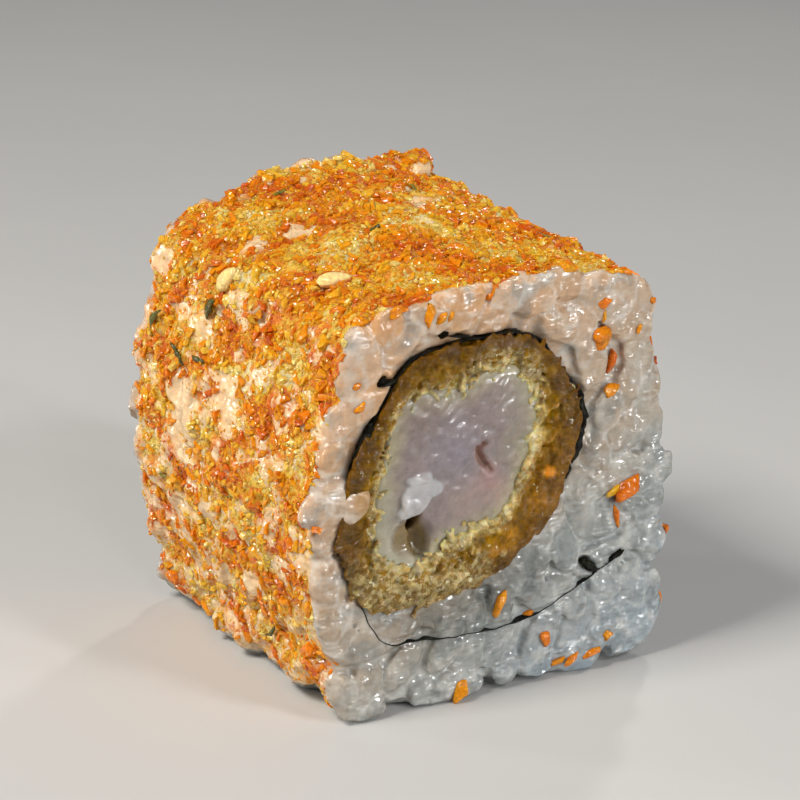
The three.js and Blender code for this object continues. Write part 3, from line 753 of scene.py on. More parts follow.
def rice_material():
    look = colours()
    material, tree, shader = new_material("rice_grains", **{
        "Subsurface Weight": 0.9, "Subsurface Radius": (1.0, 0.8, 0.65), "Subsurface Scale": 0.0009,
        "Specular IOR Level": 0.45})
    place = object_place(tree)
    # Peach at the top left to blue-grey low down: partly the oil's stain, partly painted light, warm from the coat
    # above and cool in the shade below.
    slope = put(tree, "ShaderNodeVectorMath", {0: place, 1: (0.55, 0.0, -0.84)}, operation="DOT_PRODUCT").outputs["Value"]
    slope = sums(tree, "ADD", slope, blotches(tree, place, 7.0, 0.012))
    colour = mix(tree, spread(tree, slope, -0.034, -0.006), look.rice_warm, look.rice_plain)
    colour = mix(tree, spread(tree, slope, -0.012, 0.006), colour, look.rice_cool)
    grain = attribute(tree, "grain")
    colour = mix(tree, spread(tree, grain, 0.0, 1.0, 0.0, 0.25), colour, (0.62, 0.60, 0.55))
    cloudy = spread(tree, noise(tree, place, 2.2, 4.0, 0.6), 0.48, 0.66, 0.0, 0.5)
    colour = mix(tree, cloudy, colour, (0.66, 0.65, 0.60))
    clear = spread(tree, noise(tree, place, 2.9, 3.0), 0.36, 0.48, 0.5, 0.0)
    colour = mix(tree, clear, colour, (0.22, 0.245, 0.24))
    # Pale lines: the fine threads are painted streak highlights, and the seams between grains are partly their starch
    # film, partly painted highlight.
    stirred = put(tree, "ShaderNodeVectorMath", {
        0: put(tree, "ShaderNodeTexNoise", {"Vector": place, "Scale": 500.0, "Detail": 3.0}).outputs["Color"], 3: 0.0016}, operation="SCALE")
    stirred = put(tree, "ShaderNodeVectorMath", {0: place, 1: stirred.outputs["Vector"]}, operation="ADD").outputs["Vector"]
    cells = put(tree, "ShaderNodeTexVoronoi", {"Vector": stirred, "Scale": 400.0}, feature="DISTANCE_TO_EDGE").outputs["Distance"]
    fresh = spread(tree, noise(tree, place, 2.3, 3.0), 0.42, 0.6)
    highlight_threads = sums(tree, "MULTIPLY", spread(tree, cells, 0.0, 0.07, 1.0, 0.0), fresh)
    seam = spread(tree, attribute(tree, "seam"), 0.0, 0.4, 1.0, 0.0)
    pale = sums(tree, "ADD", sums(tree, "MULTIPLY", highlight_threads, 0.08), sums(tree, "MULTIPLY", seam, 0.3), clamp=True)
    colour = mix(tree, pale, colour, (0.86, 0.86, 0.82))
    # Painted shade multiplied onto the rice between the filling and the nori's tail.
    for centre, radius, share in (
        ((-7.0, -CUT, 8.8), 5.0, 0.9), ((-1.0, -CUT, 9.6), 5.0, 0.95), ((3.5, -CUT, 11.0), 4.0, 0.6),
    ):
        shade = soft_patch(tree, place, centre, radius, 0.9)
        colour = mix(tree, sums(tree, "MULTIPLY", shade, share), colour, look.rice_shaded, "MULTIPLY")
    clot = soft_patch(tree, place, (-14.7, -CUT - 0.5, 20.8), 1.9, 0.5)
    colour = mix(tree, sums(tree, "MULTIPLY", clot, 0.8), colour, (0.42, 0.25, 0.10))
    colour = mottle(tree, place, 0.9, colour, 0.86, 1.1)
    coat = attribute(tree, "stain")
    warmth = attribute(tree, "warmth")
    broad, fine = crumb_carpet(tree, place, 0.95), crumb_carpet(tree, place, 0.42)
    which = spread(tree, noise(tree, place, 1.6, 2.0), 0.44, 0.54)
    tone = sums(tree, "ADD", sums(tree, "MULTIPLY", broad["Tone"], which),
                sums(tree, "MULTIPLY", fine["Tone"], sums(tree, "SUBTRACT", 1.0, which)))
    tone = sums(tree, "ADD", sums(tree, "MULTIPLY", tone, 0.7), sums(tree, "MULTIPLY", warmth, -0.75))
    tone = sums(tree, "ADD", tone, 0.47)
    crumbs = ramp(tree, tone, CARPET_STOPS)
    oily = mottle(tree, place, 1.2, (*look.stain, 1), 0.7, 1.2)
    rolled = attribute(tree, "rolled")
    colour = mix(tree, sums(tree, "MULTIPLY", rolled, 0.85), colour, oily)
    smeared = spread(tree, noise(tree, place, 0.7, 3.0), 0.40, 0.62, 0.0, 0.75)
    colour = mix(tree, sums(tree, "MULTIPLY", sums(tree, "MULTIPLY", rolled, smeared), spread(tree, coat, 0.0, 0.2)), colour, crumbs)
    cover = spread(tree, sums(tree, "ADD", coat, blotches(tree, place, 1.1, 1.5)), 0.40, 0.50)
    colour = mix(tree, cover, colour, crumbs)
    wet = spread(tree, noise(tree, place, 1.3, 3.0), 0.35, 0.65, 0.07, 0.20)
    rough = sums(tree, "ADD", wet, sums(tree, "MULTIPLY", cover, 0.25))
    rough = sums(tree, "ADD", rough, spread(tree, slope, -0.034, -0.010, 0.12, 0.0))
    ripples = spread(tree, noise(tree, place, 2.4, 1.0), 0.4, 0.6, 0.3, 1.0)
    ripples = sums(tree, "MULTIPLY", ripples, spread(tree, slope, -0.034, -0.010, 0.5, 1.0))
    height = sums(tree, "MULTIPLY", moist_relief(tree, place, 0.9), ripples)
    height = sums(tree, "ADD", height, sums(tree, "MULTIPLY", sums(tree, "ADD", broad["Height"], fine["Height"]), sums(tree, "MULTIPLY", cover, 0.4)))
    connect(tree, shader, Base_Color=colour, Roughness=rough, Normal=raised(tree, height, 0.55))
    return material


def nori_material():
    material, tree, shader = new_material("wet_nori", **{"Specular IOR Level": 0.12})
    place = object_place(tree)
    green = spread(tree, noise(tree, place, 1.5, 4.0), 0.5, 0.75)
    colour = mix(tree, green, colours().nori, (0.014, 0.017, 0.006))
    rough = spread(tree, noise(tree, place, 0.5), 0.3, 0.7, 0.25, 0.6)
    connect(tree, shader, Base_Color=colour, Roughness=rough, Normal=raised(tree, moist_relief(tree, place, 0.5), 0.2))
    return material


def batter_material():
    look = colours()
    material, tree, shader = new_material("fried_batter", **{
        "Subsurface Weight": 0.7, "Subsurface Radius": (1.0, 0.45, 0.08), "Subsurface Scale": 0.0008,
        "Specular IOR Level": 0.2})
    place = object_place(tree)
    ring = sums(tree, "ADD", attribute(tree, "ring"), blotches(tree, place, 1.4, 0.8))
    colour = mix(tree, spread(tree, ring, 0.2, 0.6), look.batter_brown, look.batter_gold)
    colour = mix(tree, spread(tree, ring, 0.66, 0.98), colour, look.batter_cream)
    rust = soft_patch(tree, place, (5.0, -CUT, 19.0), 6.5, 0.6)
    colour = mix(tree, sums(tree, "MULTIPLY", rust, 0.5), colour, (0.30, 0.13, 0.008))
    carpet = crumb_carpet(tree, place, 0.34)
    crumb = sums(tree, "MULTIPLY", attribute(tree, "crumb"), spread(tree, carpet["Tone"], 0.0, 0.8, 0.2, 1.0))
    colour = mix(tree, crumb, colour, look.batter_cream)
    frost = sums(tree, "MULTIPLY", attribute(tree, "frost"), spread(tree, carpet["Tone"], 0.25, 0.85))
    colour = mix(tree, frost, colour, (0.58, 0.51, 0.29))
    for centre, radius, share, shade in (
        ((4.6, -CUT, 20.3), 0.75, 0.95, (0.66, 0.26, 0.01)), ((0.6, -CUT, 14.8), 1.6, 0.75, (0.48, 0.22, 0.012)),
        ((-0.9, -CUT, 14.2), 1.2, 0.7, (0.46, 0.20, 0.012)), ((3.6, -CUT, 17.8), 1.2, 0.5, (0.42, 0.18, 0.01)),
    ):
        orange = soft_patch(tree, place, centre, radius, 0.5)
        colour = mix(tree, sums(tree, "MULTIPLY", orange, share), colour, shade)
    colour = mottle(tree, place, 1.3, colour, 0.55, 1.35)
    colour = mottle(tree, place, 0.4, colour, 0.75, 1.2)
    # Painted highlights: small cream spots where the crumbs would catch the light, more of them on the frosty crumbs.
    painted_glints = sums(tree, "ADD", noise(tree, place, 0.6, 3.0, 0.6), spread(tree, attribute(tree, "frost"), 0.0, 0.5, 0.0, 0.07))
    painted_glints = sums(tree, "ADD", painted_glints, spread(tree, noise(tree, place, 1.8, 1.0), 0.4, 0.65, -0.06, 0.05))
    colour = mix(tree, spread(tree, painted_glints, 0.68, 0.76, 0.0, 0.8), colour, (0.86, 0.77, 0.48))
    rough = spread(tree, noise(tree, place, 0.6, 2.0), 0.35, 0.65, 0.05, 0.14)
    height = sums(tree, "ADD", moist_relief(tree, place, 1.0), sums(tree, "MULTIPLY", carpet["Height"], 0.08))
    connect(tree, shader, Base_Color=colour, Roughness=rough, Normal=raised(tree, height, 0.6))
    return material


def flesh_material():
    look = colours()
    material, tree, shader = new_material("shrimp_flesh", **{
        "Subsurface Weight": 0.8, "Subsurface Radius": (1.0, 0.7, 0.6), "Subsurface Scale": 0.0011,
        "Specular IOR Level": 0.3})
    place = object_place(tree)
    edge = sums(tree, "ADD", attribute(tree, "edge"), blotches(tree, place, 2.0, 0.7))
    colour = mix(tree, spread(tree, edge, 0.2, 0.75), look.flesh, look.flesh_cream)
    for centre, radius, share, shade in (
        ((-9.0, -CUT, 27.9), 3.6, 0.65, (0.26, 0.20, 0.17)), ((-4.5, -CUT, 27.3), 3.4, 0.55, (0.30, 0.23, 0.20)),
        ((-5.8, -CUT, 24.0), 4.2, 0.6, (0.30, 0.27, 0.32)), ((-2.2, -CUT, 20.6), 2.1, 0.6, (0.52, 0.30, 0.29)),
        ((-4.2, -CUT, 18.8), 3.4, 0.5, (0.47, 0.35, 0.30)), ((-0.6, -CUT, 19.4), 2.4, 0.55, (0.50, 0.36, 0.27)),
        ((1.2, -CUT, 23.5), 3.2, 0.6, (0.36, 0.32, 0.21)), ((0.2, -CUT, 27.5), 2.6, 0.5, (0.38, 0.34, 0.26)),
        ((-12.4, -CUT, 19.0), 2.8, 0.7, (0.42, 0.39, 0.30)), ((-11.9, -CUT, 16.0), 2.6, 0.75, (0.50, 0.47, 0.36)),
        ((-10.2, -CUT, 13.7), 3.0, 0.8, (0.58, 0.55, 0.41)), ((-7.2, -CUT, 14.2), 2.6, 0.7, (0.54, 0.48, 0.34)),
        ((-5.0, CUT, 21.0), 4.5, 0.6, (0.46, 0.33, 0.30)), ((-9.5, CUT, 26.0), 3.4, 0.6, (0.42, 0.36, 0.25)),
        ((-9.5, CUT, 17.0), 3.6, 0.7, (0.52, 0.47, 0.34)), ((-1.0, CUT, 20.0), 3.0, 0.6, (0.44, 0.38, 0.27)),
    ):
        patch = soft_patch(tree, place, centre, radius, 0.9)
        colour = mix(tree, sums(tree, "MULTIPLY", patch, share), colour, shade)
    recess = attribute(tree, "recess")
    # The torn hollow's own brown, and painted shade that deepens to near black at the bottom of the hole.
    colour = mix(tree, spread(tree, recess, 0.05, 0.35, 0.0, 0.95), colour, (0.27, 0.19, 0.085))
    colour = mix(tree, spread(tree, recess, 0.45, 0.9), colour, (0.09, 0.045, 0.008))
    slit = spread(tree, attribute(tree, "slit"), 0.1, 0.9)
    colour = mix(tree, sums(tree, "MULTIPLY", slit, 0.9), colour, (0.34, 0.19, 0.15))
    wet = spread(tree, sums(tree, "ADD", attribute(tree, "shred"), blotches(tree, place, 0.9, 0.5)), 0.3, 0.8)
    colour = mix(tree, sums(tree, "MULTIPLY", wet, 0.65), colour, (0.60, 0.61, 0.61))
    colour = mottle(tree, place, 0.8, colour, 0.78, 0.96)
    strands = put(tree, "ShaderNodeMapping", {"Vector": place, "Rotation": (0.0, 0.5, 0.0), "Scale": (0.35, 1.0, 1.6)}).outputs[0]
    rough = spread(tree, noise(tree, place, 0.9, 2.0), 0.35, 0.65, 0.14, 0.4)
    height = sums(tree, "ADD", moist_relief(tree, place, 1.3), sums(tree, "MULTIPLY", noise(tree, strands, 0.6, 1.0), 0.25))
    connect(tree, shader, Base_Color=colour, Roughness=rough, Normal=raised(tree, height, 0.11))
    return material


def flake_material(name, stops, **constants):
    """A seasoning piece's finish: its own tone picks a colour between stops, mottled and oily."""
    settings = {
        "Subsurface Weight": 0.35, "Subsurface Radius": (1.0, 0.5, 0.15), "Subsurface Scale": 0.0007,
        "Specular IOR Level": 0.4}
    settings.update(constants)
    material, tree, shader = new_material(name, **settings)
    place = object_place(tree)
    tone = sums(tree, "ADD", attribute(tree, "tone"), blotches(tree, place, 0.6, 0.6))
    colour = mottle(tree, place, 0.3, ramp(tree, tone, stops), 0.72, 1.15)
    rough = spread(tree, noise(tree, place, 0.4), 0.35, 0.65, 0.08, 0.26)
    connect(tree, shader, Base_Color=colour, Roughness=rough, Normal=raised(tree, moist_relief(tree, place, 0.6), 0.16))
    return material


# Rice


def scatter(draw, low, high, spacing, tries, round_way=None):
    """Random spots in a rectangle, none nearer to another than spacing."""
    spots = np.empty((0, 2))
    for spot in draw.uniform(low, high, (tries, 2)):
        away = np.abs(spots - spot)
        if round_way:
            away[:, 0] = np.minimum(away[:, 0], round_way - away[:, 0])
        if not len(spots) or np.hypot(away[:, 0], away[:, 1]).min() > spacing:
            spots = np.vstack((spots, spot))
    return spots


def side_spot(way, y):
    """A spot on the rolled surface with its outward normal and its direction round the roll."""
    count = len(OUTLINE_LINE)
    i = int(way / OUTLINE_LENGTH * count) % count
    tangent = OUTLINE_LINE[(i + 1) % count] - OUTLINE_LINE[i - 1]
    tangent /= np.linalg.norm(tangent)
    x, z = place_outer(OUTLINE_LINE[i, 0], y, OUTLINE_LINE[i, 1])
    return np.array((x, y, z)), np.array((-tangent[1], 0, tangent[0])), np.array((tangent[0], 0, tangent[1]))


def side_grains(draw):
    """Grains pressed flat against the rolled surface."""
    size = sizes()
    half = np.array((size.grain_half_length, size.grain_half_width, size.grain_half_width * 0.92)) / MM
    spacing = size.grain_spacing / MM
    spots = scatter(draw, (0, -CUT - 0.6), (OUTLINE_LENGTH, CUT + 0.6), spacing, 16000, OUTLINE_LENGTH)
    grains = []
    for way, y in spots:
        centre, normal, tangent = side_spot(way, np.clip(y, -CUT + 0.4, CUT - 0.4))
        lie = draw.uniform(0, math.pi)
        length_axis = tangent * math.cos(lie) + np.array((0, 1, 0)) * math.sin(lie) + normal * draw.uniform(-0.16, 0.16)
        depth = half[2] * draw.uniform(0.82, 1.22)
        grain = Bean(centre - normal * depth, length_axis, normal, half * draw.uniform(0.9, 1.1, 3), draw.uniform(-0.35, 0.35))
        if CUT - abs(y) < 4.5:
            grain.cut = math.copysign(CUT + draw.uniform(-0.4, 0.15), y)
        grain.tone = draw.uniform()
        grains.append(grain)
    return grains


def face_grains(draw, side):
    """Grains that the knife sliced at a cut face."""
    size = sizes()
    half = np.array((size.grain_half_length, size.grain_half_width, size.grain_half_width)) / MM
    grains = []
    for x, z in scatter(draw, (-19, 0), (20, 38), size.grain_spacing * 0.93 / MM, 5000):
        if OUTLINE_PLAN(x, z) > -1.2:
            continue
        inner_x, inner_z = return_inner(x, side * CUT, z)
        if NORI_TURN_PLAN(inner_x, inner_z) < 0.6:
            continue
        low = z < 7 and -12 < x < 9
        lie = draw.normal(0.9, 0.25) if low else draw.uniform(0, math.pi)
        length_axis = (math.cos(lie), draw.uniform(-0.5, 0.5), math.sin(lie))
        outer_x, outer_z = place_outer(x, side * CUT, z)
        centre = (outer_x, side * (CUT - draw.uniform(0.1, 1.1)), outer_z)
        grain = Bean(centre, length_axis, (0, side, 0), half * draw.uniform(0.88, 1.12, 3), draw.uniform(-0.3, 0.3))
        grain.cut = side * (CUT + draw.uniform(-0.3, 0.2))
        grain.tone = draw.uniform()
        grains.append(grain)
    return grains


def nori_band_half(share):
    """The nori's half-thickness along its route: a thick ragged stretch on the right of the filling, as wide as the
    dark band there, so that the dark nori also fills in for the crevice's shade.
    """
    half = sizes().nori_half / MM
    thick = 0.40 / (1 + np.exp(-(share - 0.196) / 0.007)) / (1 + np.exp((share - 0.292) / 0.010))
    crumpled = 0.14 * np.exp(-((share - 0.395) / 0.02) ** 2) + 0.12 * np.exp(-((share - 0.345) / 0.01) ** 2)
    folded = 0.14 * np.exp(-((share - 0.51) / 0.008) ** 2)
    tail = 0.10 * np.exp(-((share - 0.885) / 0.008) ** 2) + 0.07 * np.exp(-((share - 0.79) / 0.006) ** 2)
    return half + thick + crumpled + folded + tail


def thick_nori_plan():
    """Distances to the nori's thick stretch."""
    share = np.linspace(0, 1, len(NORI_LINE))
    stretch = np.flatnonzero((share > 0.17) & (share < 0.44))[::2]
    return Plan(NORI_LINE[stretch], closed=False, half=nori_band_half(share)[stretch])


def coated_zone(x, z):
    """1 where the seasoning fills the grooves between grains, on the top and the left, and 0 elsewhere."""
    return np.clip(np.maximum((-6 - x) / 7, (z - 30) / 5), 0, 1) * np.clip((z - 2) / 6, 0, 1)


def rice_lump(grains):
    step = sizes().rice_step / MM
    lump = Lump(rows((-21.6, 21.6, step)), rows((-17.2, 17.2, step)), rows((-1.0, 43.2, step)))
    flat_x, flat_z = return_outer(lump.x, lump.y, lump.z)
    coated = coated_zone(flat_x, flat_z)
    groove = sizes().groove_depth / MM * (1 - 0.68 * coated)
    crumbly = coated * (0.16 * wobble(lump.x, lump.y, lump.z, 1.3, 18) + 0.16 * wobble(lump.x, lump.y, lump.z, 2.8, 19))
    side = OUTLINE_PLAN(flat_x, flat_z) + groove - crumbly
    face = np.abs(lump.y) - (CUT - 0.7)
    lump.distance = smooth_max(side, face, 0.6) + np.zeros_like(flat_x)
    for grain in grains:
        lump.add(grain, 0.28)
    lump.distance += 0.10 * wobble(lump.x, lump.y, lump.z, 2.1, 17) + 0.05 * wobble(lump.x, lump.y, lump.z, 1.1, 20)
    lump.distance -= 0.3 * np.clip(crumbly, -0.4, 0.4)
    for notch in rim_notches():
        lump.take_away(notch, 0.5)
    inner_x, inner_z = return_inner(lump.x, lump.y, lump.z)
    hole = NORI_TURN_PLAN(inner_x, inner_z) - 0.03
    hole = np.minimum(hole, thick_nori_plan()(inner_x, inner_z))
    lump.distance = smooth_max(lump.distance, -hole, 0.2)
    crease = 0.3 * np.exp(-(np.clip(NORI_LINE_PLAN(inner_x, inner_z), 0, 3) / 0.45) ** 2)
    lump.distance = np.maximum(lump.distance, np.abs(lump.y) - CUT + crease + 0.0)
    for clot in rice_on_batter():
        lump.add(clot, 0.5)
    lump.distance = smooth_max(lump.distance, -lump.z + np.zeros_like(lump.distance), 0.3)
    return lump


def rim_notches():
    """Deep gaps between grains at the near face's rim, and the small gaps that torn nori fills."""
    notches = [
        Bean((20.2, -CUT, 18.9), (0, 1, 0), (0, 0, 1), (2.2, 1.5, 1.1)),
        Bean((-9.5, -CUT, -0.4), (0, 1, 0), (0, 0, 1), (1.8, 0.5, 1.3)),
        Bean((13.0, -CUT, 0.6), (0, 1, 0), (0, 0, 1), (1.8, 0.6, 1.3)),
    ]
    for x, z, lie, length, width in NORI_TATTERS:
        notches.append(Bean((x, -CUT, z), (math.cos(lie), 0, math.sin(lie)), (0, 1, 0), (length + 0.15, width + 0.1, 0.8)))
    return notches


def rice_on_batter():
    """The clot of rice that spills over the batter's left edge."""
    return [
        Bean((-15.0, -CUT - 0.35, 20.8), (0.3, 0, 1), (0, -1, 0), (1.3, 0.65, 0.45), 0.1),
        Bean((-16.0, -CUT - 0.1, 20.5), (0.1, 0, 1), (0, -1, 0), (1.7, 1.1, 0.55)),
    ]


def grain_marks(points, grains):
    """How near each point is to the seam between two grains, and its grain's own tone."""
    first = np.full(len(points), 9.0)
    second = np.full(len(points), 9.0)
    tone = np.full(len(points), 0.5)
    for grain in grains:
        reach = grain.half.max() + 0.6
        near = np.flatnonzero((np.abs(points - grain.centre) < reach).all(axis=1))
        if not len(near):
            continue
        x, y, z = points[near].T
        cut, grain.cut = grain.cut, None
        distance = grain.distance(x, y, z)
        grain.cut = cut
        closer = distance < first[near]
        second[near] = np.where(closer, first[near], np.minimum(second[near], distance))
        tone[near] = np.where(closer, grain.tone, tone[near])
        first[near] = np.where(closer, distance, first[near])
    return np.where(first < 9, np.clip(second - first, 0, 2), 2.0), tone


# Bare spots of the coat as X, Y, Z and radius
BARE_SPOTS = (
    (-19.5, 7.0, 23.0, 2.6), (-19.3, 6.4, 19.5, 2.4), (-19.1, -0.2, 25.7, 2.3), (-17.6, 0.2, 32.9, 1.6),
    (-14.1, 4.2, 37.5, 1.5), (-17.8, 13.5, 33.8, 1.7), (-10.0, 3.5, 38.6, 1.6), (-17.8, -9.5, 13.0, 1.6),
    (-18.6, 2.0, 14.0, 1.8), (-18.8, 9.0, 12.0, 1.8), (-18.0, -4.0, 9.0, 1.7), (2.0, 3.0, 40.0, 1.3),
)


def coat_share(points, normals):
    """How thick the seasoning lies: full on the top, thinner down the left side, hardly any below."""
    x, y, z = points.T
    height = np.clip(z / 30, 0, 1)
    left = 0.34 + 0.66 * height ** 0.7
    right = 0.05 + 0.2 * height
    top = np.clip((z - 33.5) / 2.5, 0, 1)
    middle = np.clip((16.5 - x) / 5, 0, 1)
    share = np.where(x < 0, left, right)
    share = share + (1 - share) * top * middle
    share = share * np.clip(1 - (np.abs(normals[:, 1]) - 0.45) / 0.3, 0, 1)
    share = share * np.clip((z - 1.0) / 1.0, 0, 1) * (normals[:, 2] > -0.75)
    share = share * (OUTLINE_PLAN(*return_outer(x, y, z)) > -2.0)
    edge = CUT - np.abs(y) - 0.5 + 0.9 * wobble(x, y, z, 4.0, 5)
    share = share * np.clip(edge / 1.0, 0, 1)
    patchy = np.clip(0.85 + 0.55 * wobble(x, y, z, 5.5, 8), 0.15, 1)
    clustered = np.clip(0.75 + 0.75 * wobble(x, y, z, 2.6, 10), 0.15, 1.15)
    share = share * (top * (0.6 + 0.4 * clustered) + (1 - top) * patchy * clustered)
    for *spot, radius in BARE_SPOTS:
        away = np.linalg.norm(points - np.array(spot), axis=1) / radius
        share = share * np.clip((away + 0.25 * wobble(x, y, z, 1.6, 9) - 0.75) / 0.35, 0.02, 1)
    return share


class ROLL_OT_rice(bpy.types.Operator):
    """Packs the rice's grains round the nori"""

    bl_idname = "sushi_roll.rice"
    bl_label = "Rice"

    def execute(self, context):
        draw = np.random.default_rng(11)
        grains = side_grains(draw) + face_grains(draw, -1) + face_grains(draw, 1)
        grains.append(Bean((9.4, CUT - 1.6, 39.6), (0.4, 0.6, 0.1), (0, 0, 1), (2.4, 1.5, 1.5), 0.2))
        points, quads = rice_lump(grains).surface()
        quads = outward(points, quads)
        piece = make_object("rice_grains", points, quads, rice_material())
        inner = return_inner(*points.T)
        hidden = (NORI_TURN_PLAN(*inner) < 0.5) & (np.abs(points[:, 1]) < CUT - 2.0)
        thin_out(piece, hidden, 0.8)
        points, normals = points_of(piece), normals_on(piece)
        seam, tone = grain_marks(points, grains)
        coat = coat_share(points, normals)
        patch = np.clip(0.5 + 0.55 * wobble(*points.T, 6.0, 21) + 0.25 * wobble(*points.T, 2.5, 22), 0, 1)
        store(piece, "seam", seam)
        store(piece, "grain", tone)
        store(piece, "coat", coat)
        store(piece, "warmth", patch)
        rolled = np.clip((CUT - 0.9 - np.abs(points[:, 1])) / 0.6, 0, 1) * (points[:, 2] > 1) * np.clip((14 - points[:, 0]) / 4, 0, 1)
        store(piece, "rolled", rolled)
        store(piece, "coat_fine", np.where(coat > 0.01, np.clip(0.22 + coat, 0, 1.1), 0) * rolled)
        store(piece, "coat_orange", coat * (0.35 + 1.1 * patch))
        store(piece, "coat_yellow", coat * (1.15 - patch))
        store(piece, "stain", np.clip(coat * 1.1, 0, 1))
        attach(piece, "root")
        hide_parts("rice")
        return {"FINISHED"}


def edge_on_rice(tree, side):
    """Where the nori's edge ends in Y at a cut face: a little proud of the rice beside it."""
    ends = []
    x, z = place_inner(NORI_LINE[:, 0], side * CUT, NORI_LINE[:, 1])
    for one_x, one_z in zip(x, z):
        start = Vector((np.array((one_x, side * (CUT + 3), one_z)) + SHIFT) * MM)
        spot, _, _, _ = tree.ray_cast(start, Vector((0, -side, 0)))
        y = side * (CUT - 0.2) if spot is None else spot.y / MM - SHIFT[1]
        ends.append(np.clip(abs(y), CUT - 0.25, CUT + 0.15))
    smooth = np.convolve(np.pad(ends, 3, mode="edge"), np.ones(7) / 7, mode="valid")
    return side * (np.maximum(smooth, ends) + 0.05)


def round_ball(fineness):
    """The points and faces of a ball 1 across."""
    ball = bmesh.new()
    bmesh.ops.create_icosphere(ball, subdivisions=fineness, radius=0.5)
    points = np.array([corner.co for corner in ball.verts])
    faces = np.array([[corner.index for corner in face.verts] for face in ball.faces])
    ball.free()
    return points, faces


def nori_tatters(draw):
    """The torn bits of nori that show in the near face's rice, as points and faces."""
    tatters = []
    for x, z, lie, length, width in NORI_TATTERS:
        ball, faces = round_ball(3)
        ball = ball * 2 * (1 + 0.45 * wobble(*ball.T, 0.45, int(draw.integers(1000))))[:, None] * (length, 0.42, width)
        cos, sin = math.cos(lie), math.sin(lie)
        turned = np.column_stack((ball[:, 0] * cos - ball[:, 2] * sin, ball[:, 1], ball[:, 0] * sin + ball[:, 2] * cos))
        tatters.append((turned + (x, -CUT + 0.3, z), faces))
    return tatters


class ROLL_OT_nori(bpy.types.Operator):
    """Winds the sheet of nori"""

    bl_idname = "sushi_roll.nori"
    bl_label = "Nori"

    def execute(self, context):
        rice = bpy.data.objects.get("rice_grains")
        if rice is None:
            raise RuntimeError("The rice is made before the nori")
        draw = np.random.default_rng(31)
        count = len(NORI_LINE)
        share = np.linspace(0, 1, count)
        run = np.gradient(NORI_LINE, axis=0)
        run /= np.linalg.norm(run, axis=1)[:, None]
        across = np.stack((-run[:, 1], run[:, 0]), axis=1)
        ragged = np.convolve(draw.normal(size=count), np.ones(3) / 3, mode="same")
        half = nori_band_half(share) * (1 + 0.3 * ragged)
        half = np.maximum(half, 0.05) * np.clip(np.minimum(share, 1 - share) / 0.006, 0.35, 1)
        drift = 0.05 * np.sin(share * 130) + 0.04 * np.sin(share * 311 + 1)
        tree = rice_tree()
        stands = np.where(half > 0.35, 0.22, np.where(share < NORI_TURN_SHARE, -0.1, 0.0)) + 0.5 * np.clip(half - 0.1, 0, 1) * ragged
        near_edge = edge_on_rice(tree, -1) - stands
        far_edge = edge_on_rice(tree, 1) + stands
        stations = np.array((0, 0.012, 0.03, 0.08, 0.2, 0.35, 0.5, 0.65, 0.8, 0.92, 0.97, 0.988, 1))
        rings = []
        for station in stations:
            y = near_edge + (far_edge - near_edge) * station
            thin = half * (0.55 if station in (0, 1) else 1.0)
            left = NORI_LINE + across * (drift + thin)[:, None]
            right = NORI_LINE + across * (drift - thin)[:, None]
            loop = np.vstack((left, right[::-1]))
            loop_y = np.concatenate((y, y[::-1]))
            x, z = place_inner(loop[:, 0], loop_y, loop[:, 1])
            rings.append(np.stack((x, loop_y, z), axis=1))
        points = np.vstack(rings)
        size = 2 * count
        ring = np.arange(size)
        ahead = (ring + 1) % size
        quads = [np.stack((k * size + ring, k * size + ahead, (k + 1) * size + ahead, (k + 1) * size + ring), axis=1)
                 for k in range(len(stations) - 1)]
        i = np.arange(count - 1)
        cap = np.stack((i, i + 1, size - 2 - i, size - 1 - i), axis=1)
        quads += [cap[:, ::-1], cap + (len(stations) - 1) * size]
        faces = outward(points, np.vstack(quads)).tolist()
        for tatter, corners in nori_tatters(draw):
            faces += (corners + len(points)).tolist()
            points = np.vstack((points, tatter))
        piece = make_object("nori_sheet", points, faces, nori_material())
        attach(piece, "root")
        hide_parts("nori")
        return {"FINISHED"}


def batter_outside(x, z, thick):
    """The batter's outer edge: swollen against the nori, short of its thick stretch."""
    return np.maximum(np.maximum(BATTER_PLAN(x, z) - 1.3, NORI_TURN_PLAN(x, z) + 0.06), 0.05 - thick(x, z))


def facing_down(x, z, direction, opening, edge):
    """1 on the side of the filling that faces a direction, fading to 0 beyond an opening, in degrees."""
    angle = np.degrees(np.arctan2(z - FILLING_CENTRE[1], x - FILLING_CENTRE[0]))
    away = np.abs((angle - direction + 180) % 360 - 180)
    return np.clip((opening - away) / edge, 0, 1)


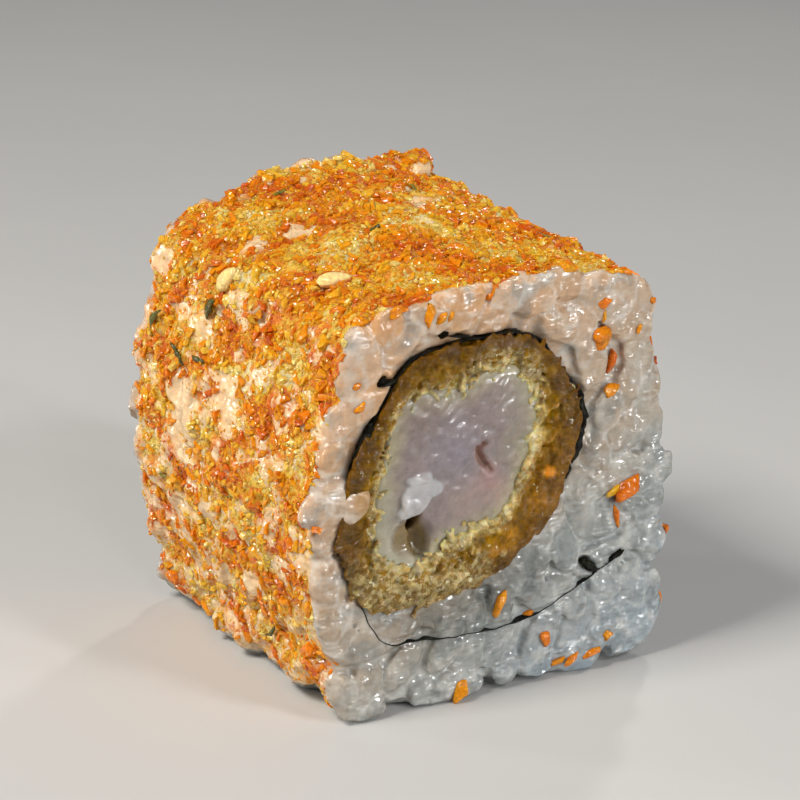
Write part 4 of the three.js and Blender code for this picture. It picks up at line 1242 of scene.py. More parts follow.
def batter_lump(draw):
    """The crumb coat in near-face coordinates, with the crumbs that it is made of."""
    step = sizes().batter_step / MM
    fine = ((-17.5, -14.6, step), (-14.6, 14.6, 1.6), (14.6, 17.5, step))
    lump = Lump(rows((-18.0, 8.8, step)), rows(*fine), rows((9.2, 34.8, step)))
    thick = thick_nori_plan()
    x, y, z = lump.x, lump.y, lump.z
    outer, within = batter_outside(x, z, thick), FLESH_PLAN(x, z)
    broad, small = wobble(x, y, z, 2.4, 41), wobble(x, y, z, 1.0, 42)
    low = facing_down(x, z, -82, 78, 25)
    inner = within - 0.15 + 0.3 * broad + 0.12 * small
    ring = np.maximum(outer + 0.07 * small, -inner)
    height = CUT + 0.08 + 0.30 * broad + 0.22 * small + 0.2 * low - 0.2 * np.exp(-np.clip(within, 0, 9) / 0.7)
    lump.distance = smooth_max(ring, np.abs(y) - height, 0.4)
    lip = 0.15 + 0.85 * low + 0.55 * facing_down(x, z, 178, 34, 10) * (y < 0)
    lip = (outer - lip + 0.3 * small + 0.25 * broad)
    lying = smooth_max(smooth_max(lip, -outer - 1.6, 0.3), np.abs(np.abs(y) - (CUT + 0.12)) - (0.24 + 0.1 * small), 0.25)
    lump.distance = smooth_min(lump.distance, lying, 0.25)
    crumbs = []
    for side in (-1, 1):
        kept = 0
        while kept < 520:
            spot_x, spot_z = draw.uniform((-16.8, 8.8), (7.6, 33.2))
            out, flesh = float(batter_outside(spot_x, spot_z, thick)), float(FLESH_PLAN(spot_x, spot_z))
            low = float(facing_down(spot_x, spot_z, -100, 62, 12))
            greasy = side < 0 and np.hypot(spot_x + 10.8, spot_z - 11.3) < 2.9
            inner_rim = -0.7 < flesh < 1.5 + 0.5 * (spot_z > 27)
            if out > (1.9 if greasy else 0.65 * low) or flesh < -0.8:
                continue
            if draw.uniform() > (0.8 if inner_rim else 0.45 if low > 0.5 else 0.14):
                continue
            size = draw.uniform(0.12, 0.26) if draw.uniform() < 0.85 else draw.uniform(0.26, 0.5)
            proud = draw.uniform(-0.2, 0.1) + 0.22 * low * (out < 0.4) - 0.1 * (flesh < 0.2)
            half = size * draw.uniform((0.8, 0.5, 0.35), (1.7, 1.0, 0.8))
            crumb = Bean((spot_x, side * (CUT + proud), spot_z), draw.normal(size=3), draw.normal(size=3), half)
            crumb.tone = draw.uniform(0.3, 1) if inner_rim or low > 0.5 or greasy else draw.uniform(0, 0.4)
            crumbs.append(crumb)
            kept += 1
    for crumb in crumbs:
        lump.add(crumb, 0.22, 0.5)
    return lump, crumbs, thick


class ROLL_OT_batter(bpy.types.Operator):
    """Fries the crumb coat round the flesh"""

    bl_idname = "sushi_roll.batter"
    bl_label = "Batter"

    def execute(self, context):
        draw = np.random.default_rng(51)
        lump, crumbs, thick = batter_lump(draw)
        points, quads = lump.surface(30)
        x, y, z = points.T
        outer, inner = batter_outside(x, z, thick), FLESH_PLAN(x, z)
        ring = np.clip(-outer / np.maximum(inner - outer, 0.3), 0, 1.2)
        crumb = np.zeros(len(points))
        for one in crumbs:
            reach = one.half.max() + 0.2
            near = np.flatnonzero((np.abs(points - one.centre) < reach).all(axis=1))
            share = np.clip(1 - one.distance(*points[near].T) / 0.12, 0, 1) * one.tone
            crumb[near] = np.maximum(crumb[near], share)
        top = np.clip((z - 28.2) / 1.6, 0, 1) * np.clip((x + 7.5) / 2.5, 0, 1) * np.clip((4.5 - x) / 2.5, 0, 1)
        low = facing_down(x, z, -112, 48, 20)
        frost = np.clip(1.2 - inner / (1.3 + 1.2 * top + 0.8 * low), 0, 1)
        frost = np.maximum(frost, 0.9 * low * np.clip((np.abs(y) - CUT - 0.2) / 0.4, 0, 1))
        crumb = np.maximum(crumb, 0.45 * low * (outer > -1.6))
        placed_x, placed_z = place_inner(x, y, z)
        placed = np.stack((placed_x, y, placed_z), axis=1)
        quads = outward(placed, quads)
        attributes = {"ring": ring, "crumb": crumb, "frost": frost}
        piece = make_object("fried_batter", placed, quads, batter_material(), attributes=attributes)
        thin_out(piece, np.abs(y) < CUT - 1.4, 0.7)
        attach(piece, "root")
        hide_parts("crumb_coat")
        return {"FINISHED"}


def flesh_hollows():
    """The torn recess with the deep hole in it, on the near face."""
    return [
        (Bean((-9.7, -CUT - 0.5, 16.4), (0.2, 0, 1), (0, -1, 0), (2.3, 2.3, 1.25)), 0.35),
        (Bean((-8.7, -CUT - 0.2, 16.0), (-0.25, 0, 1), (0, -1, 0), (1.8, 1.0, 1.5)), 0.2),
        (Bean((-9.35, -CUT, 18.0), (-0.1, 0, 1), (0, -1, 0), (1.2, 0.6, 3.4)), 0.15),
    ]


def flesh_shreds(draw):
    """The whitish torn flap beside the recess, made of flat shreds."""
    shreds = []
    for x, z, length, width, lie in (
        (-9.5, 20.9, 1.6, 1.0, 0.6), (-8.3, 21.1, 1.3, 0.7, -0.5), (-10.4, 20.2, 1.1, 0.8, 1.3),
        (-9.0, 20.0, 1.2, 0.7, 0.9), (-10.3, 19.3, 1.1, 0.6, 0.3), (-9.4, 21.9, 1.1, 0.4, 0.1), (-9.6, 19.5, 0.9, 0.5, 1.9),
    ):
        tip = draw.uniform(-0.35, 0.35, 2)
        axis = (math.cos(lie), tip[0], math.sin(lie))
        shreds.append(Bean((x, -CUT - 0.38, z), axis, (tip[1], -1, 0), (length, width, 0.34), draw.uniform(-0.2, 0.2)))
    return shreds


# The vein's slit on the near face, as X, Z and half-width
VEIN_SLIT = ((-2.9, 24.2, 0.3), (-3.4, 23.8, 0.42), (-3.3, 23.2, 0.45), (-2.9, 22.6, 0.36), (-2.4, 22.1, 0.26), (-2.0, 21.6, 0.16))


class ROLL_OT_flesh(bpy.types.Operator):
    """Sets the shrimp's flesh into the batter"""

    bl_idname = "sushi_roll.flesh"
    bl_label = "Shrimp flesh"

    def execute(self, context):
        draw = np.random.default_rng(61)
        step = 0.17
        fine = ((-17.6, -13.4, step), (-13.4, 14.4, 1.6), (14.4, 17.4, step))
        lump = Lump(rows((-14.9, 3.9, step)), rows(*fine), rows((12.3, 32.2, step)))
        x, y, z = lump.x, lump.y, lump.z
        plan = FLESH_PLAN(x, z) - 0.75
        dome = 0.45 * np.clip(-plan / 4, 0, 1) ** 0.8 - 0.12
        ripple = 0.09 * wobble(x, y, z, 2.8, 63) + 0.045 * wobble(x, y, z, 1.1, 64)
        strand = 0.04 * wobble(0.5 * x + 0.3 * z, 0 * y, 1.4 * z - 0.8 * x, 1.3, 65)
        height = CUT + dome + ripple + strand
        lump.distance = smooth_max(plan + 0.05 + ripple, np.abs(y) - height, 0.5)
        slit = np.array(VEIN_SLIT)
        groove = Plan(slit[:, :2], closed=False, half=slit[:, 2])(x, z)
        cut = np.clip(-groove / 0.3, 0, 1) * (y < 0)
        brim = np.exp(-((groove - 0.3) / 0.3) ** 2) * (y < 0) * (x > -3.1)
        lump.distance = lump.distance + 0.55 * cut - 0.14 * brim
        for hollow, blend in flesh_hollows():
            lump.take_away(hollow, blend)
        shreds = flesh_shreds(draw)
        for shred in shreds:
            lump.add(shred, 0.3)
        points, quads = lump.surface()
        x, y, z = points.T
        near = y < 0
        plan = FLESH_PLAN(x, z) - 0.75
        edge = np.clip(1 + plan / 3.0, 0, 1)
        wet = np.zeros(len(points))
        for shred in shreds:
            wet = np.maximum(wet, np.clip(1 - shred.distance(x, y, z) / 0.3, 0, 1))
        flat = CUT + 0.45 * np.clip(-plan / 4, 0, 1) ** 0.8 - 0.12
        # How deep a point lies in the torn hollow; the finish darkens it there as painted shade.
        recess = np.clip((y + flat - 0.3) / 1.5, 0, 1) * (y < -CUT + 8) * (plan < -0.9)
        groove = Plan(slit[:, :2], closed=False, half=slit[:, 2])(x, z)
        attributes = {"edge": edge, "shred": wet * near, "recess": recess, "slit": np.clip(0.5 - groove / 0.4, 0, 1) * near}
        placed_x, placed_z = place_inner(x, y, z)
        placed = np.stack((placed_x, y, placed_z), axis=1)
        piece = make_object("shrimp_flesh", placed, outward(placed, quads), flesh_material(), attributes=attributes)
        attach(piece, "root")
        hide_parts("flesh")
        return {"FINISHED"}


# Seasoning


def flake_shape(draw):
    """A thin, crinkled, uneven flake about 1 across."""
    count = int(draw.integers(6, 9))
    turn = np.sort(draw.uniform(0, 2 * math.pi, count) * 0.35 + np.arange(count) / count * 2 * math.pi * 0.65 * 1.54)
    reach = draw.uniform(0.32, 0.58, count)
    rim = np.stack((np.cos(turn) * reach, np.sin(turn) * reach * draw.uniform(0.45, 0.95)), axis=1)
    thick = draw.uniform(0.06, 0.13)
    top = np.column_stack((rim * 0.82, thick + draw.uniform(-0.07, 0.09, count)))
    low = np.column_stack((rim, -thick + draw.uniform(-0.05, 0.07, count)))
    points = np.vstack((top, low, ((0, 0, thick + draw.uniform(-0.02, 0.1)), (0, 0, -thick))))
    faces = []
    for i in range(count):
        j = (i + 1) % count
        faces += [(i, j, 2 * count), (count + j, count + i, 2 * count + 1), (i, count + i, count + j), (i, count + j, j)]
    return points, faces


def torn_shape(draw):
    """A thick, torn and crinkled flake about 1 across, for the few that lie alone."""
    points, faces = round_ball(3)
    seed = int(draw.integers(1000))
    points = points * (1 + 0.16 * wobble(*(points * (1, 1, 0.6)).T, 0.8, seed) + 0.06 * wobble(*points.T, 0.3, seed + 1))[:, None]
    for _ in range(9):
        side = draw.normal(size=3)
        side /= np.linalg.norm(side)
        points = points - side * np.clip(points @ side - draw.uniform(0.26, 0.40), 0, None)[:, None]
    return points * (1.15, 0.9, 0.5), faces.tolist()


def chunk_shape(draw):
    """An angular crumb about 1 across."""
    golden = (1 + 5 ** 0.5) / 2
    corners = []
    for a, b in ((-1, golden), (1, golden), (-1, -golden), (1, -golden)):
        corners += [(a, b, 0), (0, a, b), (b, 0, a)]
    points = np.array(corners) / np.linalg.norm((1, golden))
    hull = hull_faces(points)
    points = points * 0.5 * draw.uniform(0.65, 1.15, (12, 1)) * draw.uniform((0.9, 0.55, 0.4), (1.3, 0.9, 0.7))
    return points, hull


def grit_shape(draw):
    """A tiny crumb of eight faces about 1 across."""
    points = np.array(((1, 0, 0), (-1, 0, 0), (0, 1, 0), (0, -1, 0), (0, 0, 1), (0, 0, -1)), float)
    points = points * 0.5 * draw.uniform(0.6, 1.25, (6, 1)) * draw.uniform((0.8, 0.6, 0.4), (1.2, 0.9, 0.7))
    points += draw.uniform(-0.1, 0.1, (6, 3))
    faces = [(0, 2, 4), (2, 1, 4), (1, 3, 4), (3, 0, 4), (2, 0, 5), (1, 2, 5), (3, 1, 5), (0, 3, 5)]
    return points, faces


def hull_faces(points):
    """The triangles of a small convex set of points whose edges are all alike, looking out."""
    gaps = np.linalg.norm(points[:, None] - points[None], axis=2)
    near = (gaps > 0) & (gaps < gaps[gaps > 0].min() * 1.05)
    faces = []
    for a in range(len(points)):
        for b in range(a + 1, len(points)):
            for c in range(b + 1, len(points)):
                if near[a, b] and near[b, c] and near[a, c]:
                    facing = np.dot(np.cross(points[b] - points[a], points[c] - points[a]), points[a])
                    faces.append((a, b, c) if facing > 0 else (a, c, b))
    return faces


def seed_shape(draw):
    """A sesame seed 1 long, pointed at one end and flattened."""
    around, along_count = 10, 8
    points = [(-0.5, 0, 0)]
    for i in range(1, along_count):
        share = i / along_count
        reach = math.sin(math.pi * share ** 0.8) ** 0.75
        for k in range(around):
            angle = 2 * math.pi * k / around
            points.append((share - 0.5, 0.24 * reach * math.cos(angle), 0.15 * reach * math.sin(angle)))
    points.append((0.5, 0, 0))
    last = len(points) - 1
    faces = []
    for k in range(around):
        n = (k + 1) % around
        faces.append((0, 1 + n, 1 + k))
        faces.append((last, last - around + k, last - around + n))
        for i in range(along_count - 2):
            a = 1 + i * around
            faces += [(a + k, a + n, a + around + n), (a + k, a + around + n, a + around + k)]
    return np.array(points), faces


def strip_shape(draw):
    """A torn strip of seaweed about 1 long."""
    count = 7
    share = np.linspace(-0.5, 0.5, count)
    bow = draw.uniform(-0.25, 0.25) * (1 - (share * 2) ** 2)
    half = draw.uniform(0.09, 0.14) * np.clip(1.1 - (np.abs(share) * 1.9) ** 2, 0.3, 1) * draw.uniform(0.7, 1.2, count)
    lift = draw.uniform(-0.04, 0.06, count)
    rings = []
    for s, b, h, l in zip(share, bow, half, lift):
        rings.append([(s, b - h, l), (s, b + h, l + draw.uniform(-0.04, 0.04)), (s, b + h, l + 0.05), (s, b - h, l + 0.05)])
    points = np.array(rings).reshape(-1, 3)
    faces = [(3, 2, 1), (3, 1, 0)]
    for i in range(count - 1):
        for k in range(4):
            a, b = i * 4 + k, i * 4 + (k + 1) % 4
            faces += [(a, b, b + 4), (a, b + 4, a + 4)]
    e = (count - 1) * 4
    faces += [(e, e + 1, e + 2), (e, e + 2, e + 3)]
    return points, faces


def scatter_tree():
    """Geometry Nodes that lay pieces on a surface as thickly as one of its attributes says."""
    tree = bpy.data.node_groups.get("lay_on_surface")
    if tree:
        return tree
    tree = bpy.data.node_groups.new("lay_on_surface", "GeometryNodeTree")
    tree.interface.new_socket("Geometry", in_out="OUTPUT", socket_type="NodeSocketGeometry")
    for name, kind, value in (
        ("Surface", "NodeSocketGeometry", None), ("Pieces", "NodeSocketCollection", None),
        ("Thickness attribute", "NodeSocketString", "coat"), ("Density", "NodeSocketFloat", 1e6),
        ("Smallest", "NodeSocketFloat", 0.0005), ("Largest", "NodeSocketFloat", 0.002),
        ("Tilt", "NodeSocketFloat", 0.4), ("Sink", "NodeSocketFloat", 0.0),
        ("Seed", "NodeSocketInt", 0), ("Finish", "NodeSocketMaterial", None),
    ):
        socket = tree.interface.new_socket(name, in_out="INPUT", socket_type=kind)
        if value is not None:
            socket.default_value = value
    taken = tree.nodes.new("NodeGroupInput").outputs
    thick = put(tree, "GeometryNodeInputNamedAttribute", {"Name": taken["Thickness attribute"]}, data_type="FLOAT")
    density = sums(tree, "MULTIPLY", thick.outputs[0], taken["Density"])
    spots = put(tree, "GeometryNodeDistributePointsOnFaces", {
        "Mesh": taken["Surface"], "Density": density, "Seed": taken["Seed"]})
    facing = put(tree, "FunctionNodeAlignRotationToVector", {"Vector": spots.outputs["Normal"]}, axis="Z")
    seed = sums(tree, "ADD", taken["Seed"], 1.0)
    low = put(tree, "ShaderNodeCombineXYZ", {0: sums(tree, "MULTIPLY", taken["Tilt"], -1.0), 1: sums(tree, "MULTIPLY", taken["Tilt"], -1.0), 2: 0.0})
    high = put(tree, "ShaderNodeCombineXYZ", {0: taken["Tilt"], 1: taken["Tilt"], 2: 2 * math.pi})
    turn = put(tree, "FunctionNodeRandomValue", {0: low.outputs[0], 1: high.outputs[0], "Seed": seed}, data_type="FLOAT_VECTOR")
    spin = put(tree, "FunctionNodeEulerToRotation", {0: turn.outputs[0]})
    turned = put(tree, "FunctionNodeRotateRotation", {0: facing.outputs[0], 1: spin.outputs[0]}, rotation_space="LOCAL")
    chance = put(tree, "FunctionNodeRandomValue", {2: 0.0, 3: 1.0, "Seed": sums(tree, "ADD", taken["Seed"], 2.0)}, data_type="FLOAT")
    skewed = sums(tree, "POWER", chance.outputs[1], 1.8)
    size = put(tree, "ShaderNodeMapRange", {"Value": skewed, "To Min": taken["Smallest"], "To Max": taken["Largest"]})
    pieces = put(tree, "GeometryNodeCollectionInfo", {0: taken["Pieces"], 1: True, 2: True})
    pick = put(tree, "FunctionNodeRandomValue", {4: 0, 5: 1000, "Seed": sums(tree, "ADD", taken["Seed"], 3.0)}, data_type="INT")
    laid = put(tree, "GeometryNodeInstanceOnPoints", {
        "Points": spots.outputs["Points"], "Instance": pieces.outputs[0], "Pick Instance": True,
        "Instance Index": pick.outputs[2], "Rotation": turned.outputs[0], "Scale": size.outputs[0]})
    down = put(tree, "ShaderNodeCombineXYZ", {2: sums(tree, "MULTIPLY", taken["Sink"], -1.0)})
    sunk = put(tree, "GeometryNodeTranslateInstances", {"Instances": laid.outputs[0], "Translation": down.outputs[0], "Local Space": True})
    tone = put(tree, "FunctionNodeRandomValue", {2: 0.0, 3: 1.0, "Seed": sums(tree, "ADD", taken["Seed"], 4.0)}, data_type="FLOAT")
    warmth = put(tree, "GeometryNodeInputNamedAttribute", {"Name": "warmth"}, data_type="FLOAT").outputs[0]
    shifted = sums(tree, "ADD", sums(tree, "MULTIPLY", tone.outputs[1], 0.75), sums(tree, "MULTIPLY", sums(tree, "SUBTRACT", 0.7, warmth), 0.6))
    toned = put(tree, "GeometryNodeStoreNamedAttribute", {
        "Geometry": sunk.outputs[0], "Name": "tone", "Value": shifted}, data_type="FLOAT", domain="INSTANCE")
    real = put(tree, "GeometryNodeRealizeInstances", {"Geometry": toned.outputs[0]})
    done = put(tree, "GeometryNodeSetMaterial", {"Geometry": real.outputs[0], "Material": taken["Finish"]})
    tree.links.new(done.outputs[0], tree.nodes.new("NodeGroupOutput").inputs[0])
    return tree


def lay_pieces(name, shape, variants, seed, finish, by_hand=(), **values):
    """One kind of seasoning, laid on the rice by the nodes, and joined by what is placed one by one."""
    rice = bpy.data.objects.get("rice_grains")
    if rice is None:
        raise RuntimeError("The rice is made before its seasoning")
    draw = np.random.default_rng(seed)
    models = bpy.data.collections.new(name + "_models")
    for i in range(variants):
        points, faces = shape(draw)
        mesh = bpy.data.meshes.new(f"{name}_model_{i}")
        mesh.from_pydata(points.tolist(), [], faces)
        models.objects.link(bpy.data.objects.new(mesh.name, mesh))
    carrier = bpy.data.objects.new(name, rice.data.copy())
    bpy.context.scene.collection.objects.link(carrier)
    tree = scatter_tree()
    modifier = carrier.modifiers.new("lay_on_rice", "NODES")
    modifier.node_group = tree
    values.update({"Pieces": models, "Seed": seed, "Finish": finish})
    identifiers = {item.name: item.identifier for item in tree.interface.items_tree if item.in_out == "INPUT"}
    for key, value in values.items():
        modifier[identifiers[key]] = value
    settle(carrier)
    for model in list(models.objects):
        bpy.data.meshes.remove(model.data)
    bpy.data.collections.remove(models)
    add_by_hand(carrier, by_hand, smooth=False)
    carrier.data.materials.clear()
    carrier.data.materials.append(finish)
    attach(carrier, "root")
    return carrier


def add_by_hand(piece, placed, smooth=True):
    """Joins listed shapes, each points in metres, faces and a tone, to a piece."""
    count = len(piece.data.vertices)
    points = np.zeros(count * 3)
    piece.data.vertices.foreach_get("co", points)
    tone = np.zeros(count)
    piece.data.attributes["tone"].data.foreach_get("value", tone)
    faces = [tuple(face.vertices) for face in piece.data.polygons]
    all_points, all_tones = [points.reshape(-1, 3)], [tone]
    start = count
    for more, more_faces, more_tone in placed:
        all_points.append(more)
        all_tones.append(np.full(len(more), more_tone))
        faces += [tuple(start + corner for corner in face) for face in more_faces]
        start += len(more)
    materials = list(piece.data.materials)
    mesh = bpy.data.meshes.new(piece.name)
    mesh.from_pydata(np.vstack(all_points).tolist(), [], faces)
    mesh.attributes.new("tone", "FLOAT", "POINT").data.foreach_set("value", np.concatenate(all_tones).astype(np.float32))
    mesh.polygons.foreach_set("use_smooth", np.arange(len(faces)) >= (0 if smooth else len(piece.data.polygons)))
    for material in materials:
        mesh.materials.append(material)
    mesh.update()
    piece.data = mesh


def rice_tree():
    """The rice's surface, to look places up on."""
    rice = bpy.data.objects["rice_grains"]
    corners = [vertex.co for vertex in rice.data.vertices]
    return BVHTree.FromPolygons(corners, [tuple(face.vertices) for face in rice.data.polygons])


def set_down(tree, shape, draw, start, direction, size, spin, tone, stretch=(1, 1, 1), sink=0.06, tilt=0.12):
    """A shape laid where a line from start first meets the rice, in metres."""
    start, direction = Vector((np.array(start) + SHIFT) * MM), Vector(direction).normalized()
    spot, normal, _, _ = tree.ray_cast(start, direction)
    if spot is None:
        raise RuntimeError(f"No rice lies along the line from {tuple(start)}")
    up = (normal - direction * 1.2).normalized()
    lean = Vector(draw.uniform(-tilt, tilt, 3))
    facing = (up + lean).to_track_quat("Z", "Y").to_matrix()
    turn = Matrix.Rotation(spin, 3, "Z")
    points, faces = shape(draw)
    scale = size * MM * np.array(stretch)
    turned = (points * scale) @ np.array(facing @ turn).T
    laid = turned + np.array(spot - up * sink * MM)
    laid[:, 2] -= min(laid[:, 2].min(), 0)
    return laid, faces, tone


def face_flakes(tree, draw):
    """The loose flakes and crumbs on the near cut face, at X and Z, with size, spin, stretch and tone."""
    placed = []
    for x, z, size, spin, stretch, tone in (
        (9.3, 35.2, 1.2, 0.1, (1.1, 0.8, 1), 0.22),
        (9.3, 33.9, 0.9, 1.5, (1.0, 0.4, 1), 0.75),
        (9.4, 32.3, 1.5, 0.3, (1.1, 1.2, 1), 0.35),
        (9.3, 31.5, 1.3, 1.2, (1.0, 1.1, 1), 0.4),
        (10.8, 29.3, 1.9, 1.4, (1.2, 0.5, 1), 0.12),
        (10.7, 26.9, 1.2, 0.5, (1.2, 0.9, 1), 0.5),
        (13.6, 17.3, 2.1, 0.9, (1.1, 1.0, 1.6), 0.2),
        (12.2, 17.2, 1.3, 0.2, (1.1, 0.9, 1), 0.9),
        (12.8, 14.8, 1.5, 1.8, (1.2, 0.3, 1), 0.3),
        (0.3, 8.7, 1.6, 1.3, (1.2, 0.8, 1.3), 0.62),
        (4.2, 6.7, 1.0, 0.4, (1.0, 1.0, 1.2), 0.45),
        (5.6, 4.3, 1.2, 1.7, (1.1, 0.9, 1.3), 0.3),
        (12.9, 3.1, 1.0, 0.9, (1.0, 0.9, 1.2), 0.6),
        (7.8, 1.6, 1.2, 0.3, (1.3, 0.6, 1), 0.45),
        (9.0, 1.7, 1.3, 0.5, (1.3, 0.6, 1), 0.4),
        (11.4, 1.8, 1.3, 0.3, (1.4, 0.5, 1), 0.4),
        (-3.3, 0.7, 1.5, 0.8, (1.1, 1.0, 1.6), 0.6),
        (-9.2, 36.3, 1.5, 1.5, (1.3, 0.6, 1), 0.5),
        (-8.0, 35.9, 1.0, 0.6, (1.0, 0.8, 1), 0.6),
        (-7.1, 35.9, 0.8, 0.9, (1.0, 0.7, 1), 0.55),
        (-15.6, 29.2, 0.9, 0.7, (1.1, 0.8, 1), 0.5),
        (-15.9, 31.0, 0.8, 0.2, (1.0, 0.8, 1), 0.35),
        (-12.6, 37.0, 1.2, 0.2, (1.0, 0.8, 1), 0.45),
        (14.6, 34.7, 0.8, 0.2, (1.0, 0.8, 1), 0.4),
        (13.3, 32.2, 0.8, 0.8, (1.0, 0.8, 1), 0.55),
    ):
        placed.append(set_down(tree, torn_shape, draw, (x, -CUT - 4, z), (0, 1, 0), size * 1.25, spin, tone, stretch, sink=0.0))
    for x, y, z, size, spin, tone in (
        (24, -13.6, 4.4, 2.6, 1.5, 0.4), (24, -13.9, 17.2, 2.0, 1.4, 0.65), (24, -13.9, 18.8, 1.4, 1.0, 0.3),
        (24, -14.5, 34.0, 1.1, 0.4, 0.35), (24, -9.0, 28.5, 1.3, 0.4, 0.5), (24, -2.0, 20.0, 1.6, 0.9, 0.3),
        (24, 5.0, 12.0, 1.5, 0.3, 0.5), (24, 9.0, 26.0, 1.7, 0.6, 0.4),
    ):
        placed.append(set_down(tree, torn_shape, draw, (x, y, z), (-1, 0, 0), size, spin, tone))
    return placed


class ROLL_OT_seasoning(bpy.types.Operator):
    """Sprinkles chilli flakes, crisp crumbs and fine crumbs on the rice"""

    bl_idname = "sushi_roll.seasoning"
    bl_label = "Seasoning"

    def execute(self, context):
        size, look = sizes(), colours()
        tree = rice_tree()
        draw = np.random.default_rng(71)
        red, orange, amber = tuple(look.flake_red), tuple(look.flake_orange), tuple(look.flake_amber)
        yellow, pale = tuple(look.crisp_yellow), tuple(look.crisp_pale)
        flake = flake_material("chilli_flake", [(0.0, red), (0.3, orange), (0.7, amber), (1.0, yellow)])
        crisp = flake_material("crisp_crumb", [(0.0, amber), (0.45, yellow), (1.0, pale)])
        dust = flake_material("fine_crumb", [(0.0, orange), (0.4, amber), (0.75, yellow), (1.0, pale)])
        flakes = lay_pieces(
            "chilli_flakes", flake_shape, 14, 101, flake, face_flakes(tree, draw), **{
                "Thickness attribute": "coat_orange", "Density": size.flake_density,
                "Smallest": 0.0005, "Largest": 0.0020, "Tilt": 0.2, "Sink": 0.0})
        crisps = lay_pieces(
            "crisp_crumbs", chunk_shape, 12, 202, crisp, **{
                "Thickness attribute": "coat_yellow", "Density": size.crisp_density,
                "Smallest": 0.0004, "Largest": 0.0013, "Tilt": 0.4, "Sink": 0.0})
        fine = lay_pieces(
            "fine_crumbs", grit_shape, 10, 303, dust, **{
                "Thickness attribute": "coat_fine", "Density": size.dust_density,
                "Smallest": 0.0002, "Largest": 0.0006, "Tilt": 0.9, "Sink": -0.00008})
        return {"FINISHED"}


class ROLL_OT_seeds_and_seaweed(bpy.types.Operator):
    """Adds sesame seeds and flecks of seaweed"""

    bl_idname = "sushi_roll.seeds_and_seaweed"
    bl_label = "Sesame seeds and seaweed flecks"

    def execute(self, context):
        tree = rice_tree()
        draw = np.random.default_rng(81)
        seeds = []
        for start, direction, spin in (
            ((-24, 3.5, 37.6), (0.9, 0, -0.35), 0.9), ((-13.0, -7.0, 44), (0, 0, -1), 1.1),
            ((24, 6.0, 30.0), (-1, 0, 0), 0.4),
        ):
            seeds.append(set_down(tree, seed_shape, draw, start, direction, 3.3, spin, draw.uniform(), (1, 1.2, 1.3), -0.35))
        flecks = []
        for start, direction, length, spin in (
            ((-5.1, -1.0, 45), (0, 0, -1), 2.0, 0.2), ((-24, 4.5, 31.9), (1, 0, 0), 3.6, 0.8),
            ((-24, 8.2, 26.9), (1, 0, 0), 2.6, -0.6), ((-24, 4.8, 27.6), (1, 0, 0), 2.4, 0.1),
            ((-24, -5.5, 5.5), (1, 0, 0), 1.9, 0.9), ((-24, 12.5, 28.6), (1, 0, 0), 2.4, 1.2),
            ((-8.0, 10.0, 45), (0, 0, -1), 1.4, 0.8), ((8.0, -8.0, 45), (0, 0, -1), 1.3, 0.3),
            ((-24, -2.0, 17.0), (1, 0, 0), 1.3, 0.5), ((4.0, 7.0, 45), (0, 0, -1), 1.5, 1.9),
            ((-24, 10.0, 15.0), (1, 0, 0), 1.5, 0.2), ((24, 3.0, 30.0), (-1, 0, 0), 1.4, 0.7),
        ):
            flecks.append(set_down(tree, strip_shape, draw, start, direction, length, spin, draw.uniform(), (1, 1, 1), -0.3))
        seed = flake_material("sesame_seed", [(0.0, (0.88, 0.62, 0.20)), (1.0, (0.93, 0.74, 0.36))])
        fleck = flake_material("seaweed_fleck", [(0.0, (0.03, 0.045, 0.012)), (0.6, (0.09, 0.10, 0.015)), (1.0, (0.22, 0.20, 0.02))])
        for name, placed, finish, slot in (("sesame_seeds", seeds, seed, "rice"), ("seaweed_flecks", flecks, fleck, "nori")):
            piece = make_object(name, np.zeros((0, 3)), [], finish, attributes={"tone": []})
            add_by_hand(piece, placed)
            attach(piece, "root")
        return {"FINISHED"}


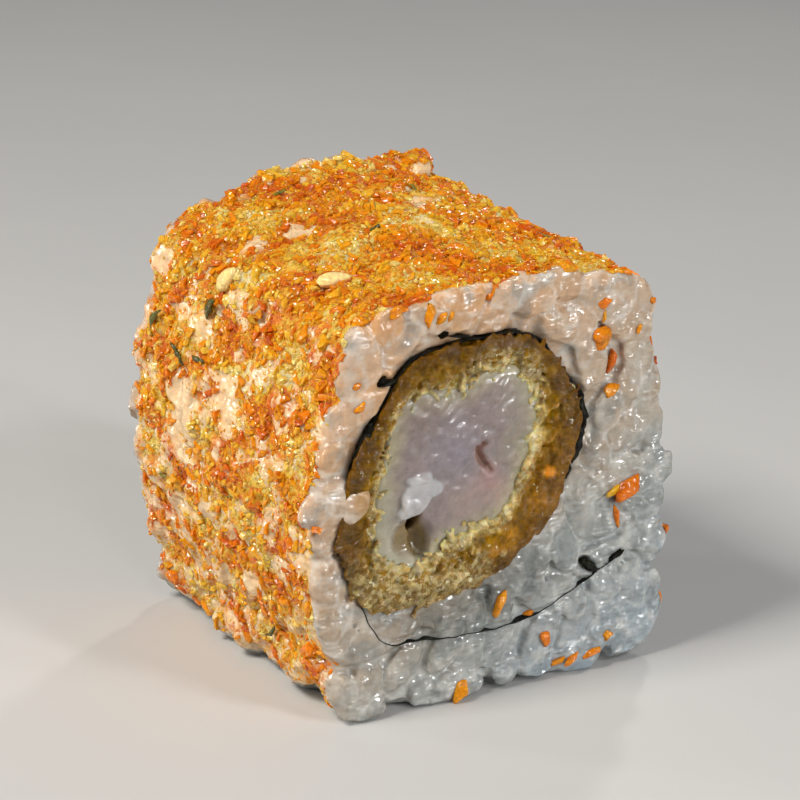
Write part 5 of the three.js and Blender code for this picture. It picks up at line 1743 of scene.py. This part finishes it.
class ROLL_OT_stage(bpy.types.Operator):
    """Sets up the floor, the lights and the camera"""

    bl_idname = "sushi_roll.stage"
    bl_label = "Stage"

    def execute(self, context):
        scene = context.scene
        material, tree, shader = new_material("pale_floor")
        place = object_place(tree)
        colour = mottle(tree, place, 60.0, mix(tree, 0.0, (0.56, 0.555, 0.54), (1, 1, 1)), 0.98, 1.02)
        connect(tree, shader, Base_Color=colour)
        shader.inputs["Roughness"].default_value = 0.6
        mesh = bpy.data.meshes.new("floor")
        reach = 1.5
        mesh.from_pydata([(-reach, -reach, 0), (reach, -reach, 0), (reach, reach, 0), (-reach, reach, 0)], [], [(0, 1, 2, 3)])
        mesh.materials.append(material)
        floor = bpy.data.objects.new("floor", mesh)
        scene.collection.objects.link(floor)
        world = bpy.data.worlds.new("studio")
        world.use_nodes = True
        world.node_tree.nodes["Background"].inputs["Color"].default_value = (0.90, 0.93, 1.0, 1)
        world.node_tree.nodes["Background"].inputs["Strength"].default_value = 0.13
        scene.world = world
        scene.view_settings.view_transform = "Standard"
        aim = Vector((0, 0, 0.02))
        for name, place, size, power, colour in (
            ("key_light", (-0.28, -0.02, 0.33), 0.12, 1.65, (1.0, 0.96, 0.90)),
            ("back_left_light", (-0.35, 0.30, 0.06), 0.05, 0.7, (1.0, 0.98, 0.95)),
            ("front_light", (-0.16, -0.40, 0.34), 0.08, 0.22, (0.94, 0.97, 1.0)),
            ("rim_light", (0.26, 0.22, 0.30), 0.03, 0.25, (1.0, 0.98, 0.94)),
            ("low_glint_light", (0.30, -0.42, 0.06), 0.036, 0.7, (1.0, 1.0, 1.0)),
            ("side_glint_light", (0.16, -0.44, 0.16), 0.036, 0.5, (1.0, 1.0, 1.0)),
            ("high_glint_light", (0.10, -0.34, 0.34), 0.036, 0.35, (1.0, 1.0, 1.0)),
        ):
            light = bpy.data.lights.new(name, "AREA")
            light.size = size
            light.energy = power
            light.color = colour
            holder = bpy.data.objects.new(name, light)
            holder.location = place
            holder.visible_camera = False
            holder.rotation_euler = (aim - Vector(place)).to_track_quat("-Z", "Y").to_euler()
            scene.collection.objects.link(holder)
        scene.camera = photo_camera()
        scene.collection.objects.link(scene.camera)
        return {"FINISHED"}


def photo_camera():
    """The camera at the photograph's place, turned so that the frame's middle lies on its axis."""
    cos, sin = math.cos(CAMERA_PITCH), math.sin(CAMERA_PITCH)
    back = Vector((math.sin(CAMERA_YAW) * cos, -math.cos(CAMERA_YAW) * cos, sin))
    level = (-back).cross(Vector((0, 0, 1))).normalized()
    upright = level.cross(-back)
    right = level * math.cos(CAMERA_ROLL) + upright * math.sin(CAMERA_ROLL)
    up = upright * math.cos(CAMERA_ROLL) - level * math.sin(CAMERA_ROLL)
    middle = FRAME_PIXELS / 2
    aim = -back + right * (middle - CAMERA_AXIS_PIXEL[0]) / CAMERA_FOCAL_PIXELS
    aim -= up * (middle - CAMERA_AXIS_PIXEL[1]) / CAMERA_FOCAL_PIXELS
    aim.normalize()
    up = (up - aim * up.dot(aim)).normalized()
    turned = Matrix((aim.cross(up), up, -aim)).transposed()
    start = (Vector(SHIFT) + Vector((0, 0, CAMERA_AIM_HEIGHT)) + back * CAMERA_DISTANCE) * MM
    lens = bpy.data.cameras.new("photo_camera")
    lens.sensor_width = 36
    lens.lens = CAMERA_FOCAL_PIXELS * 36 / FRAME_PIXELS
    lens.clip_start = 0.01
    camera = bpy.data.objects.new("photo_camera", lens)
    camera.matrix_world = Matrix.Translation(start) @ turned.to_4x4()
    return camera


OPERATORS = (
    ROLL_OT_rice, ROLL_OT_nori, ROLL_OT_batter, ROLL_OT_flesh, ROLL_OT_seasoning,
    ROLL_OT_seeds_and_seaweed, ROLL_OT_stage,
)


class ROLL_PT_sidebar(bpy.types.Panel):
    """Lists the piece's parts and their sizes and colours"""

    bl_idname = "ROLL_PT_sidebar"
    bl_label = "Sushi Roll"
    bl_space_type = "VIEW_3D"
    bl_region_type = "UI"
    bl_category = "Sushi Roll"

    def draw(self, context):
        for group in (context.scene.roll_sizes, context.scene.roll_colours):
            box = self.layout.box()
            for key in group.__annotations__:
                box.prop(group, key)
        for operator in OPERATORS:
            self.layout.operator(operator.bl_idname)


CLASSES = (RollSizes, RollColours, *OPERATORS, ROLL_PT_sidebar)


def register():
    for cls in CLASSES:
        bpy.utils.register_class(cls)
    bpy.types.Scene.roll_sizes = bpy.props.PointerProperty(type=RollSizes)
    bpy.types.Scene.roll_colours = bpy.props.PointerProperty(type=RollColours)


def unregister():
    del bpy.types.Scene.roll_colours
    del bpy.types.Scene.roll_sizes
    for cls in reversed(CLASSES):
        bpy.utils.unregister_class(cls)


def main():
    register()
    bpy.ops.sushi_roll.rice()
    bpy.ops.sushi_roll.nori()
    bpy.ops.sushi_roll.batter()
    bpy.ops.sushi_roll.flesh()
    bpy.ops.sushi_roll.seasoning()
    bpy.ops.sushi_roll.seeds_and_seaweed()
    bpy.ops.sushi_roll.stage()


if __name__ == "__main__":
    main()
